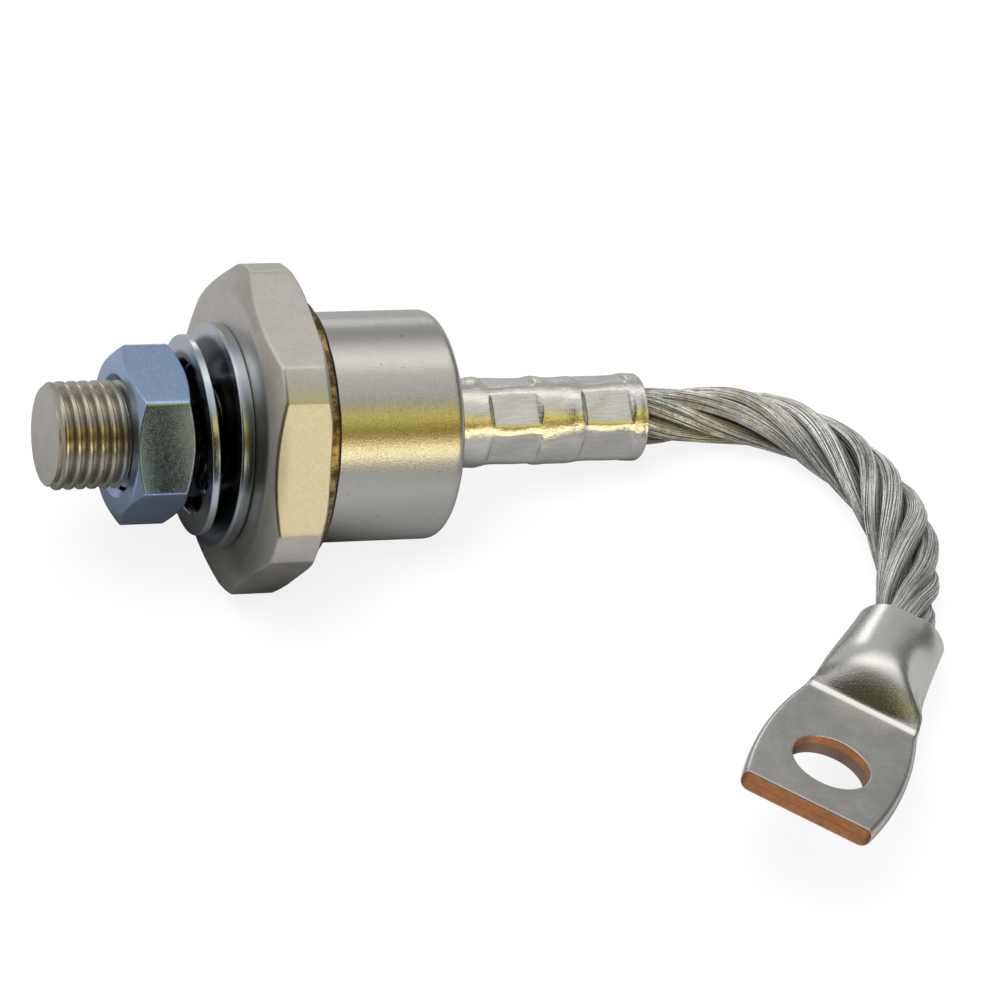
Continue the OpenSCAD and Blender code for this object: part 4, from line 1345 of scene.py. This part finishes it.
        def top_at(y):
            """The lower of the roof and the leaning side, pressed down to the palm at the
            crease, where a small lip is left."""
            past = np.maximum(y, 0.0) - ridge
            lean = 0.9 * past + 0.22 * np.maximum(past, 0.0) ** 2
            side = domed(ridge) - lean * shaped - arc(past) * (1 - shaped)
            roof = domed(y) - arc(-y - crown) * round_left
            roof = np.maximum(soft_min(roof, side, 0.05 + 0.40 * shaped), palm_top + 0.02)
            back = np.clip((LUG_CREASE - x) / roll_l, 0.0, 1.0)[:, None]
            pressed = palm_top + (roof - palm_top) * (1 - (1 - back) ** 4.5)
            lip = palm_top + 0.34 * soft_max(LUG_CREASE + 0.7 - x, 0 * x, 0.15)[:, None]
            return soft_max(pressed, np.minimum(lip, palm_top + 0.5), 0.10)

        across, bend, up = 41, 7, 5
        t = np.linspace(-1.0, 1.0, across)
        rl, r_right, r_left = r_low[:, None], r_right[:, None], r_left[:, None]
        y_low = (half - rl) * t
        bottom = np.stack([y_low, under + 0 * y_low], -1)
        q = np.linspace(0.0, TAU / 4, bend + 2)[1:-1]
        corner = np.stack([half - rl + rl * np.sin(q), under + rl - rl * np.cos(q)], -1)
        y_top = (r_left - r_right) / 2 - (half - (r_left + r_right) / 2) * t
        roof = np.stack([y_top, top_at(y_top)], -1)
        side_t = np.linspace(0.0, 1.0, up)
        foot = under + rl
        bent = np.linspace(0.0, 1.0, bend + 2)[1:-1]

        def edge_up(r, shoulder, next_in):
            """One side upwards: quarter circle, wall, and a shoulder
            (1-t)^2 tip + 2t(1-t) meet + t^2 roof."""
            rise = (next_in[..., 1] - shoulder[..., 1]) \
                / np.abs(next_in[..., 0] - shoulder[..., 0])
            meet = np.maximum(shoulder[..., 1] - np.maximum(rise, 0.0) * r, foot + 2e-3)
            tip = np.maximum(meet - r, foot + 1e-3)
            side = np.stack([half + 0 * side_t, foot + (tip - foot) * side_t], -1)
            upper = np.stack([half - r * bent ** 2, tip * (1 - bent) ** 2
                              + 2 * meet * bent * (1 - bent) + shoulder[..., 1] * bent ** 2], -1)
            return np.concatenate([corner, side, upper], 1)

        right = edge_up(r_right, roof[:, :1], roof[:, 1:2])
        left = edge_up(r_left, roof[:, -1:], roof[:, -2:-1])[:, ::-1] * [-1.0, 1.0]
        ring = np.concatenate([bottom, right, roof, left], 1)
        outer = np.concatenate([x[:, None, None] + 0 * ring[..., :1], ring], -1)
        outer[..., 1] -= 0.25 * (1 - ease((x - 7.0) / 5.4))[:, None]

        mouth = outer[0, :, 1:]
        ray = np.arctan2(mouth[:, 1], mouth[:, 0])
        spread, cap = 0.85, 1.75
        flat_r = cap / np.maximum(np.abs(np.sin(ray)), 1e-6)
        round_r = spread * np.abs(np.cos(ray)) + np.sqrt(cap ** 2 - (spread * np.sin(ray)) ** 2)
        bore_r = np.where(np.abs(flat_r * np.cos(ray)) <= spread, flat_r, round_r)
        bore = bore_r[:, None] * pointing(ray)

        def ring_at(depth, blend):
            """Ring at a depth, from the bore at blend 0 to the mouth's outline at 1."""
            flat = bore + (mouth - bore) * blend
            return np.concatenate([np.full((len(ray), 1), depth), flat], -1)[None]

        def tip_at(place, shrink):
            """The last section moved to a place and drawn in to its centre."""
            flat = outer[-1] * [0.0, 1.0, 1.0] + [place, 0.0, 0.0]
            centre = np.array([0.0, 0.0, under + s.palm_t / 2])
            return (centre + (flat - centre) * shrink)[None]

        rim = [ring_at(*pair) for pair in (
            (8.0, 0.0), (4.0, 0.0), (1.0, 0.0), (0.62, 0.08), (0.5, 0.25), (0.5, 0.75),
            (0.55, 0.93))]
        outer[0, :, 0] = 0.66
        grid = np.concatenate(rim + [outer, tip_at(LUG_END - 0.04, (1.0, 0.996, 0.965)),
                                     tip_at(LUG_END, (1.0, 0.985, 0.88))])
        before = len(rim) + sum(count for _, _, count in spans[:3])
        top_start = across + 2 * bend + up
        mid_top, mid_low = top_start + across // 2, across // 2
        reach = 15
        marks = ((before, before + spans[3][2] - 1), (mid_top - reach, mid_top + reach),
                 (mid_low - reach, mid_low + reach))
        return grid, marks


class DIODE_OT_junction(Step):
    """Finishes of the pieces inside the can"""
    bl_idname = "diode.junction"
    bl_label = "Junction"

    def execute(self, context):
        """Gives each inner solid its material."""
        grey = inner_finish("molybdenum_grey", (0.42, 0.43, 0.45, 1.0), 1.0, 0.45)
        copper = inner_finish("inner_copper", (0.66, 0.34, 0.20, 1.0), 1.0, 0.4)
        finishes = {
            "lower_disc": grey, "upper_disc": grey, "contact_cup": copper, "inner_lead": copper,
            "silicon_wafer": inner_finish("silicon_dark", (0.12, 0.13, 0.16, 1.0), 0.6, 0.25),
            "junction_coating": inner_finish("silicone_white", (0.8, 0.78, 0.74, 1.0), 0.0, 0.5),
        }
        for node, finish in finishes.items():
            mesh = frame["nodes"][node].data
            mesh.materials.clear()
            mesh.materials.append(finish)
        return {"FINISHED"}


class DIODE_PT_panel(bpy.types.Panel):
    """Lists the steps and the values they use"""
    bl_idname = "DIODE_PT_panel"
    bl_label = "Stud mount diode"
    bl_space_type = "VIEW_3D"
    bl_region_type = "UI"
    bl_category = "Diode"

    def draw(self, context):
        """Draws a button for each step, then the sizes and the colours."""
        for step in STEPS:
            self.layout.operator(step.bl_idname)
        for group in (context.scene.diode_sizes, context.scene.diode_finishes):
            box = self.layout.box()
            for key in type(group).__annotations__:
                box.prop(group, key)


STEPS = (DIODE_OT_stage, DIODE_OT_lead, DIODE_OT_base, DIODE_OT_case, DIODE_OT_tube,
         DIODE_OT_nut, DIODE_OT_washers, DIODE_OT_junction)
CLASSES = (DiodeSizes, DiodeFinishes, *STEPS, DIODE_PT_panel)


def register():
    """Registers the classes and hangs the two property groups on the scene."""
    for cls in CLASSES:
        bpy.utils.register_class(cls)
    bpy.types.Scene.diode_sizes = bpy.props.PointerProperty(type=DiodeSizes)
    bpy.types.Scene.diode_finishes = bpy.props.PointerProperty(type=DiodeFinishes)


def unregister():
    """Takes the groups and classes away again."""
    del bpy.types.Scene.diode_finishes
    del bpy.types.Scene.diode_sizes
    for cls in reversed(CLASSES):
        bpy.utils.unregister_class(cls)


def main():
    """Runs every step in order."""
    register()
    for step in STEPS:
        group, name = step.bl_idname.split(".")
        getattr(getattr(bpy.ops, group), name)()


if __name__ == "__main__":
    main()
